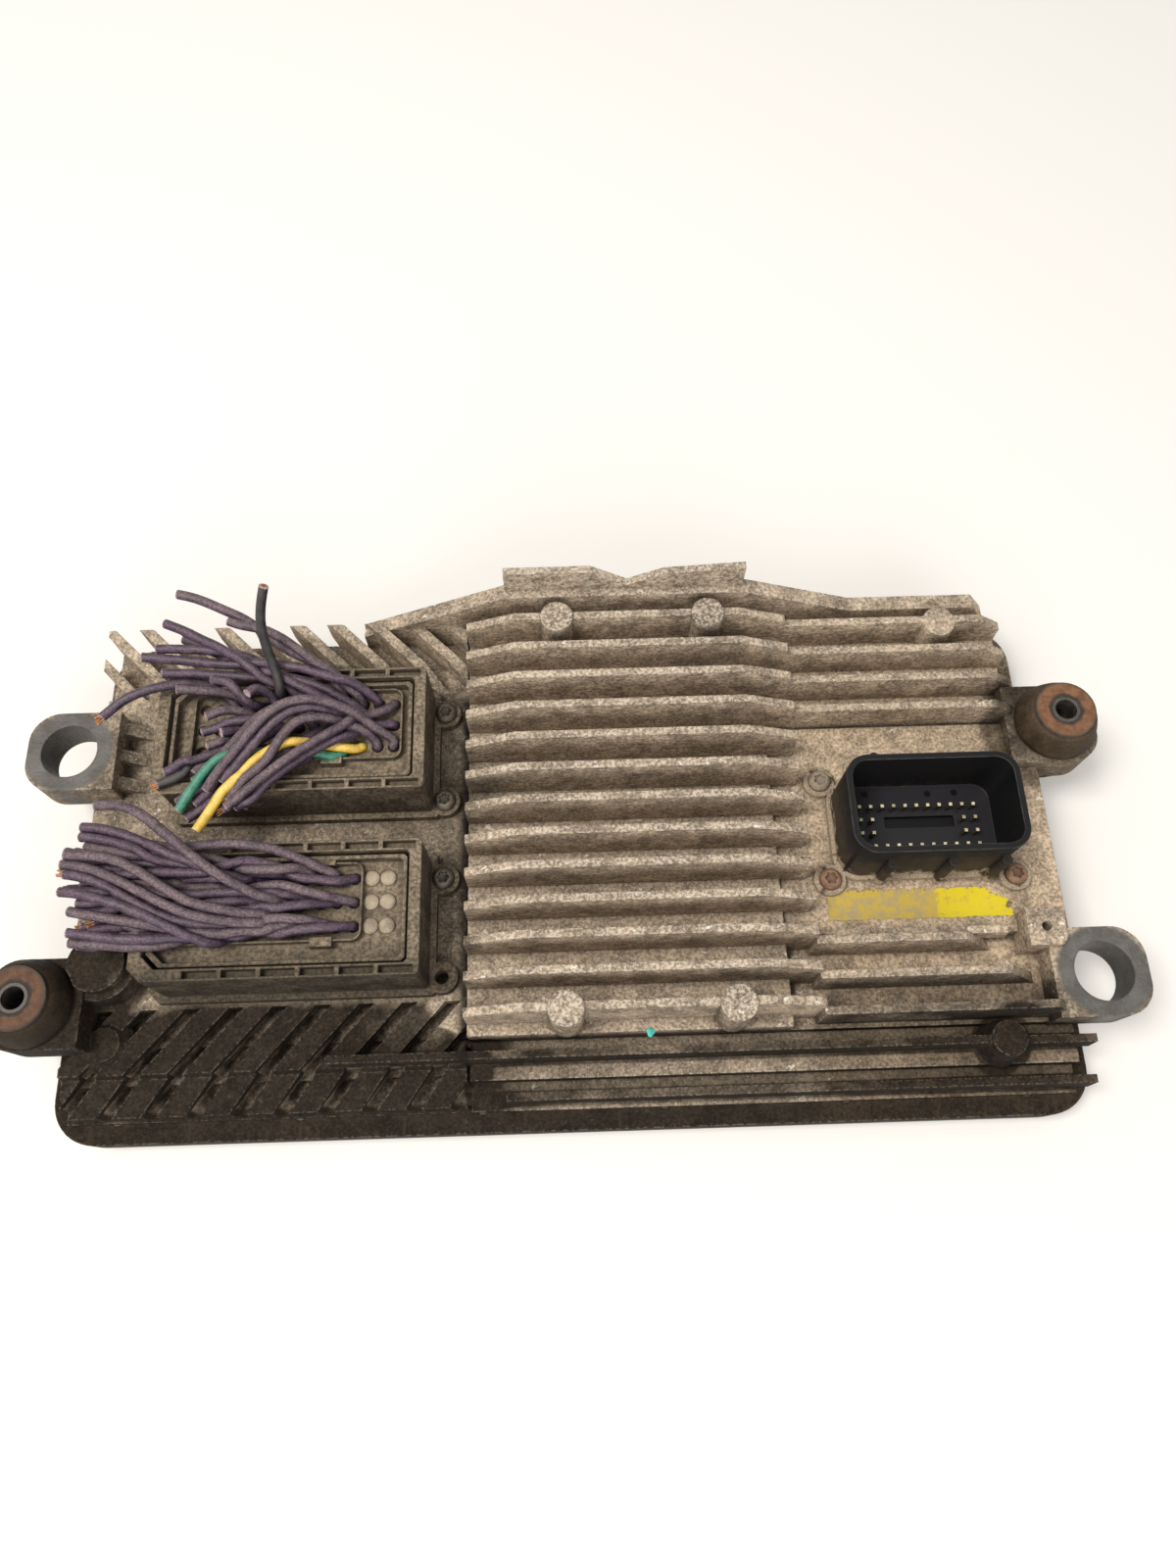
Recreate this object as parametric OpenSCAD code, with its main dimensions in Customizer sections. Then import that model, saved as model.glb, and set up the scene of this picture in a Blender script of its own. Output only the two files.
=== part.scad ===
// Heavy-duty engine control unit lying on its flat cover: a finned die-cast housing with a pin header,
// two mated harness plugs with cut wires, and rubber isolators in two of its four mounting ears.
// Millimetres. Z = 0 is the underside of the cover, X runs along its length, +Y is the back.
// A distance "from the front" is measured from the front edge of the cover rim.

/* [Cover and rim] */
// Length of the cover rim
rim_w = 320; // [300:1:340]
// Depth of the cover rim
rim_d = 170; // [160:1:180]
// Corner radius of the rim
rim_r = 14; // [10:1:18]
// Thickness of the base cover
cover_t = 4; // [3:0.5:6]
// Thickness of the cover gasket
gasket_t = 1.2; // [0.8:0.1:2]
// Thickness of the housing flange
flange_t = 5; // [4:0.5:6]
// Step from the rim edge in to the housing wall
flange_step = 6; // [5:0.5:8]

/* [Housing levels] */
// Height of the deck that carries the harness sockets
left_deck_z = 25; // [24:0.5:27]
// Height of the deck that carries the pin header
right_deck_z = 30; // [29:0.5:31]
// Height of the valley floor between the centre fins
valley_z = 32; // [31:0.5:35]
// Height of the centre fin tops
fin_top_z = 50; // [46:0.5:53]
// Height of the fin tops beside the header deck
side_fin_z = 41; // [38:0.5:44]
// Height of the raised lip on the rearmost fin
lip_z = 60; // [56:0.5:64]
// Thickness of the roof over the board space
roof_t = 6; // [4:0.5:6.5]

/* [Centre fins] */
// Spacing of the fins
fin_pitch = 10.5; // [9.8:0.1:10.6]
// Distance of the first full fin from the front
fin_first = 31; // [30:0.5:32]
// Least distance of the last full fin from the back
fin_back = 12.5; // [12:0.5:14]
// Thickness of a fin at its tip
fin_tip_w = 2.4; // [2:0.1:3]
// Thickness of a fin at its root
fin_root_w = 3.4; // [3:0.1:5]
// Width of the socket zone, from the left rim edge to the centre block
left_zone_w = 129; // [127:0.5:130]
// Width of the header zone, from the centre block to the right rim edge
right_zone_w = 86; // [84:0.5:90]
// Length of the drooping end of a centre fin
fin_end_run = 16; // [12:1:20]
// Drop of the fin top at its end
fin_end_drop = 6; // [3:0.5:8]
// Diameter of the round bosses on the fins
boss_d = 10.5; // [8:0.5:12]
// Spacing of the two boss columns
boss_span = 49; // [45:1:52]

/* [Slanted fins] */
// Spacing of the slanted fins in front, along the length
slat_pitch = 13.2; // [12:0.1:14]
// Thickness of a slanted fin in front, along the length
slat_w = 8.4; // [6:0.1:9.5]
// Spacing of the slanted fins at the back, along the length
back_slat_pitch = 12.9; // [12:0.1:14]
// Thickness of a slanted fin at the back, along the length
back_slat_w = 4.6; // [3.5:0.1:6]
// Front edge of the socket deck, from the front
deck_front = 38; // [37:0.5:39]
// Back edge of the socket deck, from the front
deck_back = 143; // [142:0.5:144]
// Height of the lowest terrace between the slanted fins
terrace_z = 13; // [12.5:0.5:14]
// Rise of each terrace
terrace_rise = 3; // [2:0.5:3.5]
// Height of the tall slanted fins at the back
back_slat_z = 32; // [29:0.5:35]

/* [Ears and isolators] */
// Distance of the front pair of ears from the front
ear_front = 39; // [38:0.5:41]
// Distance of the back pair of ears from the front
ear_back = 120.5; // [119:0.5:122]
// Width of an ear
ear_w = 27; // [25:0.5:29]
// Bore of an ear
ear_bore = 18; // [16:0.5:19]
// Thickness of an ear
ear_t = 13; // [11:0.5:15]
// Height of the top face of an ear
ear_top_z = 35; // [33:0.5:37]
// Outer diameter of an isolator
rubber_d = 26.4; // [24:0.2:27]
// Height of an isolator collar above and below its ear
collar_h = 9; // [7:0.5:10]
// Outer diameter of the isolator sleeve
sleeve_d = 8.8; // [8.4:0.2:10]
// Bore of the isolator sleeve
sleeve_bore = 6.8; // [6.4:0.1:7.4]
// Outer diameter of the isolator washers
washer_d = 19; // [17:0.5:21]
// Thickness of the isolator washers
washer_t = 1.4; // [1:0.1:2]

/* [Pin header] */
// Length of the header shroud
header_w = 52.4; // [51:0.2:54]
// Depth of the header shroud
header_d = 31; // [30:0.5:33]
// Height of the header shroud above its deck
header_h = 26; // [22:0.5:30]
// Corner radius of the header shroud
header_r = 7; // [5:0.5:9]
// Wall thickness of the header shroud
header_wall = 1.8; // [1.4:0.1:2.4]
// Middle of the header, from the right end of the centre block
header_from_block = 36.8; // [36:0.2:38]
// Middle of the header, from the front
header_from_front = 87; // [86:0.5:88]
// Spacing of the pin columns
pin_pitch = 3.6; // [3.4:0.05:3.8]
// Spacing of the pin rows
pin_row_pitch = 4.35; // [4:0.05:4.5]
// Width of a header pin
pin_w = 1; // [0.8:0.1:1.2]

/* [Harness sockets and plugs] */
// Length of a socket shroud
socket_w = 83.5; // [82:0.5:84.5]
// Depth of a socket shroud
socket_d = 41; // [40:0.5:42]
// Height of a socket shroud above its deck
socket_h = 25; // [23:0.5:27]
// Wall thickness of a socket shroud
socket_wall = 3.6; // [3:0.1:3.8]
// Middle of the sockets, from the left rim edge
socket_from_left = 75.3; // [75:0.1:76]
// Middle of the lower socket, from the front
lower_from_front = 61.8; // [61.4:0.1:63]
// Middle of the upper socket, from the front
upper_from_front = 119.2; // [118:0.1:120]
// Spacing of the cavity columns in a plug
cavity_pitch = 5; // [4.8:0.1:5.1]
// Spacing of the cavity rows in a plug
cavity_row_pitch = 7.3; // [6.8:0.1:7.6]
// Gap between a plug and its socket
plug_gap = 0.8; // [0.4:0.1:1.2]

/* [Fasteners and board] */
// Diameter of the header and socket screws
screw_d = 4; // [3:0.5:4.5]
// Head diameter of the header and socket screws
head_d = 7; // [6:0.2:7.6]
// Diameter of the cover screws
cover_screw_d = 4; // [3:0.5:4.5]
// Diameter of the board screws
board_screw_d = 3; // [2.5:0.5:3.5]
// Thickness of the circuit board
board_t = 1.6; // [1.2:0.1:2]
// Diameter of a harness wire
wire_d = 2.9; // [2.4:0.1:3.4]

/* [Hidden] */
$fn = 48;

// Small values shared by many pieces
fit = 0.1;
embed = 1;
far = 400;

// Main planes of the housing
base_z = cover_t + gasket_t;
flange_z = base_z + flange_t;
wall_x = rim_w / 2 - flange_step;
wall_front = flange_step - rim_d / 2;
wall_back = rim_d / 2 - flange_step;
block_left = left_zone_w - rim_w / 2;
block_right = rim_w / 2 - right_zone_w;
socket_x = socket_from_left - rim_w / 2;
header_x = block_right + header_from_block;
zone_lap = 8;

// As many full fins as the depth has room for
fin_count = floor((rim_d - fin_first - fin_back) / fin_pitch) + 1;

// Front shelves below the centre block, from the front
shelf_back = 26;
shelf_mid = 14.5;
shelf_z = 20;
low_shelf_z = 14;

// Header deck, with a lower floor in front of it and behind it
header_deck_front = 53;
header_deck_back = 123;
front_floor_drop = 5;
back_floor_drop = 2;
front_floor_z = right_deck_z - front_floor_drop;
back_floor_z = right_deck_z - back_floor_drop;
back_wall_in = 6;
back_wall_x = wall_x - back_wall_in;

// Board space
board_clear = 2;
board_side = 10;
board_end = 15;
board_drop = 2;
board_corner = 5;
tray_corner = 6;
board_w = 2 * (wall_x - board_side);
board_d = rim_d - 2 * board_end;
board_top = flange_z - board_drop;
board_z = board_top - board_t;
pocket_side = 18;
pocket_in_front = 4;
pocket_in_back = 8;
pocket_x = wall_x - pocket_side;
pocket_front = deck_front + pocket_in_front;
pocket_back = deck_back - pocket_in_back;

// Ears stand on the rim edge line
ear_x = rim_w / 2;
ear_z = ear_top_z - ear_t;
ear_corner = 9.7;
ear_relief = 0.6;
ear_bite = 1.2;
relief_r = ear_w / 2 + ear_relief;
bolt_room = 0.5;

// Screws and their lugs
lug_r = 5;
head_h = 2.4;
head_rim_h = 1.4;
head_crown = 2.1;
screw_l = 6.6;
screw_room = 0.5;
screw_reach = screw_l + screw_room;
cover_screw_l = 10;
cover_screw_room = 1;
cover_screw_count = 6;
cover_screw_end = 20;
cover_screw_in = 7.5;
board_screw_count = 4;
board_screw_end = 4;
board_screw_in = 5;
board_screw_deep = 4;
board_screw_bite = 3.8;
board_head_h = 1.4;

// Seals
seal_t = 0.8;
seal_in = 0.6;
seal_w = 2;
gasket_in = 1;

// Header: flange, screws, pins, key slot and nubs
header_flange_t = 2;
header_flange_out = 1.2;
header_screw_out_x = 2.8;
header_screw_out_y = 0.9;
header_screw_dx = header_w / 2 + header_screw_out_x;
header_screw_dy = header_d / 2 + header_screw_out_y;
header_floor_t = 3;
header_rim_z = right_deck_z + header_h;
header_floor_z = right_deck_z + header_floor_t;
pin_cols = 11;
pin_rows = 4;
pin_side_cols = 2;
pin_rise = 4;
pin_tail = 1.4;
pin_shift_x = -0.3;
pin_shift_y = -0.85;
key_w = 22;
key_d = 3.6;
key_deep = 1.6;
key_x = 1.2;
key_y = 1.5;
nub_d = 3;
nub_out = 1.2;
nub_drop = 7;
nub_xs = [-13.7, 4.6, 20.5];
back_nub_x = -16;
back_nub_out = 0.8;
back_nub_drop = 4;

// Sockets: flange, screws, corners and the slots along the rims
socket_flange_t = 3;
socket_flange_out = 2;
socket_floor_t = 4;
socket_screw_out = 0.3;
socket_screw_in = 4.9;
socket_screw_shift = -1.5;
left_screw_shift = 2;
socket_screw_dx = socket_w / 2 + head_d / 2 + socket_screw_out;
socket_screw_dy = socket_d / 2 - socket_screw_in;
socket_screw_spots = [
    [socket_screw_dx, socket_screw_shift - socket_screw_dy],
    [socket_screw_dx, socket_screw_shift + socket_screw_dy],
    [-socket_screw_dx, left_screw_shift]
];
corner_cut = 4;
edge_cut = 1;
slot_l = 9.8;
slot_pitch = 11.2;
slot_w = 2.2;
slot_deep = 2.5;
slot_end = 1.8;
slot_count = floor((socket_w - corner_cut - slot_end) / slot_pitch);
socket_floor_z = left_deck_z + socket_floor_t;
socket_rim_z = left_deck_z + socket_h;
socket_pin_rise = 7;

// Plugs: cavities, ridge, lip and latches
cavity_cols = 13;
cavity_rows = 3;
blank_cols = 2;
plug_drop = 5;
plug_top_z = socket_rim_z - plug_drop;
cavity_shift = 1.4;
cavity_lift = 2.4;
cavity_d = 3.6;
cavity_deep = 2;
ridge_t = 0.6;
ridge_h = 2.5;
ridge_margin = 2;
ridge_corner = 3;
foot_gap = 0.3;
foot_side = 1.8;
stopper_d = 4.2;
stopper_h = 1;
stopper_taper = 1;
plug_lip_t = 1.2;
plug_lip_h = 3.5;
latch_x = 12.7;
latch_w = 6.5;
latch_d = 2.8;
latch_h = 3.2;
latch_out = 0.3;
terminal_w = 3;
terminal_gap = 3;
terminal_h = plug_top_z - socket_floor_z - terminal_gap;

function fromFront(d) = d - rim_d / 2;
function finY(k) = fromFront(fin_first + k * fin_pitch);
function cavityX(i) = socket_x + (i - (cavity_cols - 1) / 2) * cavity_pitch + cavity_shift;
function cavityY(j) = (j - (cavity_rows - 1) / 2) * cavity_row_pitch + cavity_lift;
upper_y = fromFront(upper_from_front);
lower_y = fromFront(lower_from_front);
header_y = fromFront(header_from_front);

// A flat outline in Y and Z drawn along X, and one in X and Z drawn along Y
module alongX(x0, x1) { translate([x0, 0, 0]) rotate([90, 0, 90]) linear_extrude(x1 - x0) children(); }
module alongY(y0, y1) { translate([0, y1, 0]) rotate([90, 0, 0]) linear_extrude(y1 - y0) children(); }
module rise(z0, z1) { translate([0, 0, z0]) linear_extrude(z1 - z0) children(); }
module rounded(w, d, r) {
    square([w - 2 * r, d], center = true);
    square([w, d - 2 * r], center = true);
    for (sx = [-1, 1], sy = [-1, 1])
        translate([sx * (w / 2 - r), sy * (d / 2 - r)]) circle(r);
}

// Cross-section of one drafted fin standing at y, from below the floor z0 up to z1
module finSection(y, z0, z1) {
    polygon([
        [y - fin_root_w / 2, z0 - embed], [y + fin_root_w / 2, z0 - embed],
        [y + fin_tip_w / 2, z1], [y - fin_tip_w / 2, z1]
    ]);
}
module fin(y, z0, z1, x0, x1) { alongX(x0, x1) finSection(y, z0, z1); }

// Side outline of the drooping centre fins
module centreFinOutline() {
    polygon([
        [block_left, base_z], [block_left, fin_top_z - fin_end_drop],
        [block_left + fin_end_run, fin_top_z], [block_right - fin_end_run, fin_top_z],
        [block_right, fin_top_z - fin_end_drop], [block_right, base_z]
    ]);
}
module centreFins() {
    intersection() {
        alongX(block_left - embed, block_right + embed)
            for (k = [0 : fin_count - 1]) finSection(finY(k), left_deck_z, fin_top_z);
        alongY(-rim_d, rim_d) centreFinOutline();
    }
}

// Rearmost fin: it slopes down to both sides and carries a lip with a dip in its edge
rear_fin_w = 5;
rear_fin_in = 3.5;
hump_left = block_left - 37;
hump_foot_z = 27;
hump_right = block_right + 24;
hump_end = wall_x - 8;
hump_drop = 5;
hump_nose = 6;
lip_left = block_left + 13;
lip_right = block_right - 14;
lip_w = 2.4;
dip_x = (lip_left + lip_right) / 2 + 1;
dip_half = 12;
dip_deep = 8;
dip_rise = 2;
module rearFin() {
    y = rim_d / 2 - rear_fin_in;
    alongY(y - rear_fin_w / 2, y + rear_fin_w / 2) polygon([
        [hump_left, base_z], [hump_left, hump_foot_z], [lip_left, fin_top_z], [lip_right, fin_top_z],
        [hump_right, side_fin_z - hump_drop], [hump_end - hump_nose, side_fin_z - hump_drop],
        [hump_end, back_floor_z], [hump_end, base_z]
    ]);
    alongY(y + rear_fin_w / 2 - lip_w, y + rear_fin_w / 2) polygon([
        [lip_left, fin_top_z - embed], [lip_left, lip_z], [dip_x - dip_half, lip_z],
        [dip_x, lip_z - dip_deep], [dip_x + dip_half, lip_z - dip_rise],
        [lip_right, lip_z], [lip_right, fin_top_z - embed]
    ]);
}

// Fins beside the header deck: those behind it end in a slanted nose, those in front step back
fin_lap = 2;
side_fin_run = 8;
side_fin_drop = 6;
front_fins = 3;
front_fin_step = 12;
front_fin_shift = 2;
front_fin_low = 1;
front_fin_over = 2;
deck_fin_h = 4;
deck_fin_end = 20;
module sideFins() {
    back_first = ceil((header_deck_back - fin_first) / fin_pitch);
    intersection() {
        alongX(block_right - fin_lap, back_wall_x)
            for (k = [back_first : fin_count - 1]) finSection(finY(k), back_floor_z, side_fin_z);
        alongY(-rim_d, rim_d) polygon([
            [block_right - fin_lap, base_z], [block_right - fin_lap, side_fin_z],
            [back_wall_x - side_fin_run, side_fin_z], [back_wall_x, side_fin_z - side_fin_drop],
            [back_wall_x, base_z]
        ]);
    }
    for (k = [0 : front_fins - 1])
        intersection() {
            fin(finY(k) - front_fin_shift, front_floor_z, side_fin_z - front_fin_low,
                block_right, wall_x + front_fin_over);
            alongY(-rim_d, rim_d) polygon([
                [block_right, base_z], [block_right, side_fin_z],
                [wall_x - (k + 1) * front_fin_step, side_fin_z],
                [wall_x - k * front_fin_step, front_floor_z], [wall_x - k * front_fin_step, base_z]
            ]);
        }
    fin(fromFront(header_deck_front), right_deck_z, right_deck_z + deck_fin_h,
        block_right - fin_lap, wall_x - deck_fin_end);
}

// Long low fins along the front shelves
long_fin_from_front = 20.8;
low_fin_from_front = 9.4;
long_fin_z = 30;
low_fin_z = 21;
long_fin_left = block_left - 42;
low_fin_left = block_left + 11;
stub_drop = 4;
front_over = 4;
corner_boss_x = wall_x - 24;
module frontFins() {
    fin(fromFront(long_fin_from_front), terrace_z, long_fin_z, long_fin_left, corner_boss_x);
    fin(fromFront(long_fin_from_front), shelf_z, long_fin_z - stub_drop, corner_boss_x, wall_x + front_over);
    fin(fromFront(low_fin_from_front), low_shelf_z, low_fin_z, low_fin_left, wall_x + front_over);
}

// Slanted fins: each is one outline that bends where it crosses the line y = mid
slat_count = 14;
slat_right = block_left - 1;
module slats(start, pitch, w, y0, mid, y1, low_lean, high_lean) {
    intersection() {
        rise(base_z + embed, far / 4)
            for (i = [0 : slat_count - 1]) {
                x = start + i * pitch;
                a = x - (mid - y0) * low_lean;
                b = x + (y1 - mid) * high_lean;
                polygon([[a, y0], [a + w, y0], [x + w, mid], [b + w, y1], [b, y1], [x, mid]]);
            }
        translate([-wall_x, y0, 0]) cube([wall_x + slat_right, y1 - y0, far]);
        children();
    }
}

// In front of the socket deck they stand in two steps, behind it they rise above the deck
front_slat_start = 2.2;
front_slat_mid = 19;
front_slat_lean = 0.9;
front_slat_low_lean = 0.7;
front_slat_h = 6;
front_slat_mid_h = 8;
front_slat_drop = 1;
back_slat_start = 17;
back_slat_foot = 3;
back_slat_ramp = 6;
back_slat_over = 4;
back_slat_nose = 2;
back_slat_nose_drop = 3;
back_step = 4;
back_low_step = 6;
module frontSlats() {
    y0 = wall_front + embed;
    y1 = fromFront(deck_front) + embed;
    mid = fromFront(front_slat_mid);
    slats(-wall_x - front_slat_start, slat_pitch, slat_w, y0, mid, y1, front_slat_low_lean, front_slat_lean)
        alongX(-far, far) polygon([
            [y0, base_z], [y0, terrace_z + front_slat_h], [mid - embed, terrace_z + front_slat_mid_h],
            [mid, left_deck_z - front_slat_drop], [y1, left_deck_z], [y1, base_z]
        ]);
}
module backSlats() {
    y0 = fromFront(deck_back) - embed;
    y1 = wall_back + back_slat_over;
    ramp = min(back_slat_ramp, (y1 - y0 - back_slat_foot - back_slat_nose) / 2);
    slats(-wall_x - back_slat_start, back_slat_pitch, back_slat_w, y0, (y0 + y1) / 2, y1, -1, -1)
        alongX(-far, far) polygon([
            [y0, base_z], [y0, left_deck_z], [y0 + back_slat_foot, left_deck_z],
            [y0 + back_slat_foot + ramp, back_slat_z], [y1 - back_slat_nose, back_slat_z],
            [y1, back_slat_z - back_slat_nose_drop], [y1, left_deck_z - back_step],
            [wall_back - embed, flange_z]
        ]);
}

// Bodies of the three zones, each one profile drawn along X
terraces = 3;
module leftZone() {
    step = (deck_front - flange_step) / terraces;
    back = (rim_d - flange_step - deck_back) / 2;
    alongX(-wall_x, block_left + embed) polygon([
        [wall_front, base_z], [wall_front, terrace_z],
        [wall_front + step, terrace_z], [wall_front + step, terrace_z + terrace_rise],
        [wall_front + 2 * step, terrace_z + terrace_rise],
        [wall_front + 2 * step, terrace_z + 2 * terrace_rise],
        [fromFront(deck_front), terrace_z + 2 * terrace_rise], [fromFront(deck_front), left_deck_z],
        [fromFront(deck_back), left_deck_z], [fromFront(deck_back), left_deck_z - back_step],
        [wall_back - back, left_deck_z - back_step], [wall_back - back, left_deck_z - back_low_step],
        [wall_back, left_deck_z - back_low_step], [wall_back, base_z]
    ]);
}
module shelfZone(x0, x1, levels) {
    alongX(x0, x1) polygon(concat(
        [
            [wall_front, base_z], [wall_front, low_shelf_z], [fromFront(shelf_mid), low_shelf_z],
            [fromFront(shelf_mid), shelf_z], [fromFront(shelf_back), shelf_z]
        ],
        levels, [[wall_back, base_z]]
    ));
}
module centreZone() {
    shelfZone(block_left, block_right - zone_lap, [
        [fromFront(shelf_back), valley_z], [wall_back, valley_z]
    ]);
}
module rightZone() {
    shelfZone(block_right - zone_lap - embed, wall_x, [
        [fromFront(shelf_back), front_floor_z], [fromFront(header_deck_front), front_floor_z],
        [fromFront(header_deck_front), right_deck_z], [fromFront(header_deck_back), right_deck_z],
        [fromFront(header_deck_back), back_floor_z], [wall_back, back_floor_z]
    ]);
}
module backRightCut() {
    translate([back_wall_x, fromFront(header_deck_back), flange_z]) cube(far);
}

// Round bosses, the machined disc, the square pad and the ribs behind the left back ear
boss_rise = 1;
boss_shift = 1.8;
boss_forward = 0.8;
boss_flare = 4;
side_boss_x = wall_x - 28;
pad_x = wall_x - 10;
pad_from_front = 52.5;
pad_w = 11.5;
pad_z = 38;
pad_hole_d = 3;
pad_hole_deep = 8;
disc_x = 13 - wall_x;
disc_from_front = 50;
disc_d = 17;
disc_z = 38;
disc_step_h = 4;
disc_step_out = 2;
knob_from_front = 28;
knob_h = 10;
knob_top_h = 4;
knob_taper = 3.5;
module bosses() {
    boss_x = (block_left + block_right) / 2 + boss_shift;
    for (sx = [-1, 1], k = [0, fin_count - 1])
        translate([boss_x + sx * boss_span / 2, finY(k) - boss_forward, valley_z - embed])
            cylinder(h = fin_top_z + boss_rise - valley_z + embed, d = boss_d);
    translate([side_boss_x, finY(fin_count - 1) - boss_forward, back_floor_z - embed])
        cylinder(h = side_fin_z + embed - back_floor_z, d = boss_d);
    translate([corner_boss_x, fromFront(long_fin_from_front), shelf_z - embed])
        cylinder(h = long_fin_z + boss_rise - shelf_z + embed, d1 = boss_d + boss_flare, d2 = boss_d);
    translate([disc_x, fromFront(disc_from_front), left_deck_z - embed]) {
        cylinder(h = disc_z - disc_step_h - left_deck_z + embed, d = disc_d + 2 * disc_step_out);
        cylinder(h = disc_z - left_deck_z + embed, d = disc_d);
    }
    translate([disc_x, fromFront(knob_from_front), terrace_z - embed]) {
        cylinder(h = knob_h, d = disc_d);
        translate([0, 0, knob_h]) cylinder(h = knob_top_h, d1 = disc_d, d2 = disc_d - 2 * knob_taper);
    }
}
module pad() {
    translate([pad_x - pad_w / 2, fromFront(pad_from_front) - pad_w / 2, front_floor_z - embed])
        cube([pad_w, pad_w, pad_z - front_floor_z + embed]);
}
rib_t = 4;
rib_pitch = 9.5;
rib_start = 7;
rib_flat = 12;
rib_end = 24;
rib_drop = 1;
module ribs() {
    for (k = [-1 : 1])
        translate([0, fromFront(ear_back) + k * rib_pitch, 0]) alongY(-rib_t / 2, rib_t / 2) polygon([
            [rib_start - ear_x, ear_z], [rib_start - ear_x, ear_top_z - rib_drop],
            [rib_flat - ear_x, ear_top_z - rib_drop], [rib_end - ear_x, left_deck_z - embed],
            [rib_end - ear_x, ear_z]
        ]);
}

// One ear lug reaching out from the wall: square towards the wall, rounded outside
module earOutline(side) {
    inner = relief_r + ear_bite;
    translate([side * (ear_x - inner / 2), 0]) square([inner, ear_w], center = true);
    translate([side * ear_x, 0]) rounded(ear_w, ear_w, ear_corner);
}
module eachEar() {
    for (side = [-1, 1], y = [ear_front, ear_back])
        translate([0, fromFront(y), 0]) {
            $side = side;
            children();
        }
}
// Free way below each ear through the rim, so that a bolt and its washer pass down
module boltWays() {
    eachEar() translate([$side * ear_x, 0, -embed])
        cylinder(h = flange_z + 2 * embed, d = washer_d + 2 * bolt_room);
}
// The two ears that still hold an isolator: left front and right back
module eachIsolator(side) {
    translate([side * ear_x, fromFront(side < 0 ? ear_front : ear_back), 0]) children();
}

// Space for the board: a shallow tray and deeper pockets over the parts
module tray() { rounded(board_w + 2 * board_clear, board_d + 2 * board_clear, tray_corner); }
module boardSpace() {
    rise(base_z - embed, board_top) tray();
    for (p = [
        [-pocket_x, block_left, left_deck_z], [block_left - embed, block_right - zone_lap, valley_z],
        [block_right - zone_lap - embed, pocket_x, right_deck_z]
    ])
        translate([p[0], fromFront(pocket_front), board_top - embed])
            cube([p[1] - p[0], pocket_back - pocket_front, p[2] - roof_t - board_top + embed]);
}

// Places of the fasteners
module coverScrewPlaces() {
    last = cover_screw_count - 1;
    span = rim_w - 2 * cover_screw_end;
    for (i = [0 : last], sy = [-1, 1])
        translate([(i / last - 1 / 2) * span, sy * (rim_d / 2 - cover_screw_in), 0]) children();
    for (sx = [-1, 1]) translate([sx * (rim_w / 2 - cover_screw_in), 0, 0]) children();
}
module boardScrewPlaces() {
    last = board_screw_count - 1;
    span = board_w - 2 * board_screw_end;
    for (i = [0 : last], sy = [-1, 1])
        translate([(i / last - 1 / 2) * span, sy * (board_d / 2 - board_screw_in), 0]) children();
}
module headerScrewPlaces() {
    for (sx = [-1, 1], sy = [-1, 1])
        translate([header_x + sx * header_screw_dx, header_y + sy * header_screw_dy, 0]) children();
}
// The right front screw of the lower socket is broken away, so its hole stays empty
module socketScrewPlaces(with_lost) {
    for (y = [upper_y, lower_y], k = [0 : len(socket_screw_spots) - 1])
        if (with_lost || y == upper_y || k > 0)
            translate([socket_x + socket_screw_spots[k][0], y + socket_screw_spots[k][1], 0]) children();
}

// Windows in the roof below the header and the sockets
window_w = 66;
window_d = 25;
header_window_w = 46;
header_window_d = 22;
window_corner = 3;
module socketWindow(gap) { rounded(window_w - 2 * gap, window_d - 2 * gap, window_corner); }
module headerWindow(gap) { rounded(header_window_w - 2 * gap, header_window_d - 2 * gap, window_corner); }

module housing() {
    color("#8b7d6b") difference() {
        union() {
            difference() {
                union() {
                    leftZone();
                    centreZone();
                    rightZone();
                    centreFins();
                    sideFins();
                    frontFins();
                    frontSlats();
                    backSlats();
                    bosses();
                    pad();
                }
                backRightCut();
                eachEar() translate([$side * ear_x, 0, flange_z]) cylinder(h = far, r = relief_r);
            }
            difference() {
                rise(base_z, flange_z) rounded(rim_w, rim_d, rim_r);
                boltWays();
            }
            rearFin();
            eachEar() rise(ear_z, ear_top_z) earOutline($side);
            ribs();
        }
        boardSpace();
        eachEar() translate([$side * ear_x, 0, ear_z - embed]) cylinder(h = far, d = ear_bore);
        translate([pad_x, fromFront(pad_from_front), pad_z - pad_hole_deep])
            cylinder(h = far, d = pad_hole_d);
        rise(board_top, far) {
            translate([header_x, header_y]) headerWindow(0);
            for (y = [upper_y, lower_y]) translate([socket_x, y]) socketWindow(0);
        }
        coverScrewPlaces() translate([0, 0, base_z - embed])
            cylinder(h = cover_screw_l + cover_screw_room - base_z + embed, d = cover_screw_d + fit);
        boardScrewPlaces() translate([0, 0, board_top - embed])
            cylinder(h = board_screw_deep + embed, d = board_screw_d + fit);
        headerScrewPlaces() translate([0, 0, right_deck_z + header_flange_t - screw_reach])
            cylinder(h = far, d = screw_d + fit);
        socketScrewPlaces(true) translate([0, 0, left_deck_z + socket_flange_t - screw_reach])
            cylinder(h = far, d = screw_d + fit);
    }
}

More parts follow.
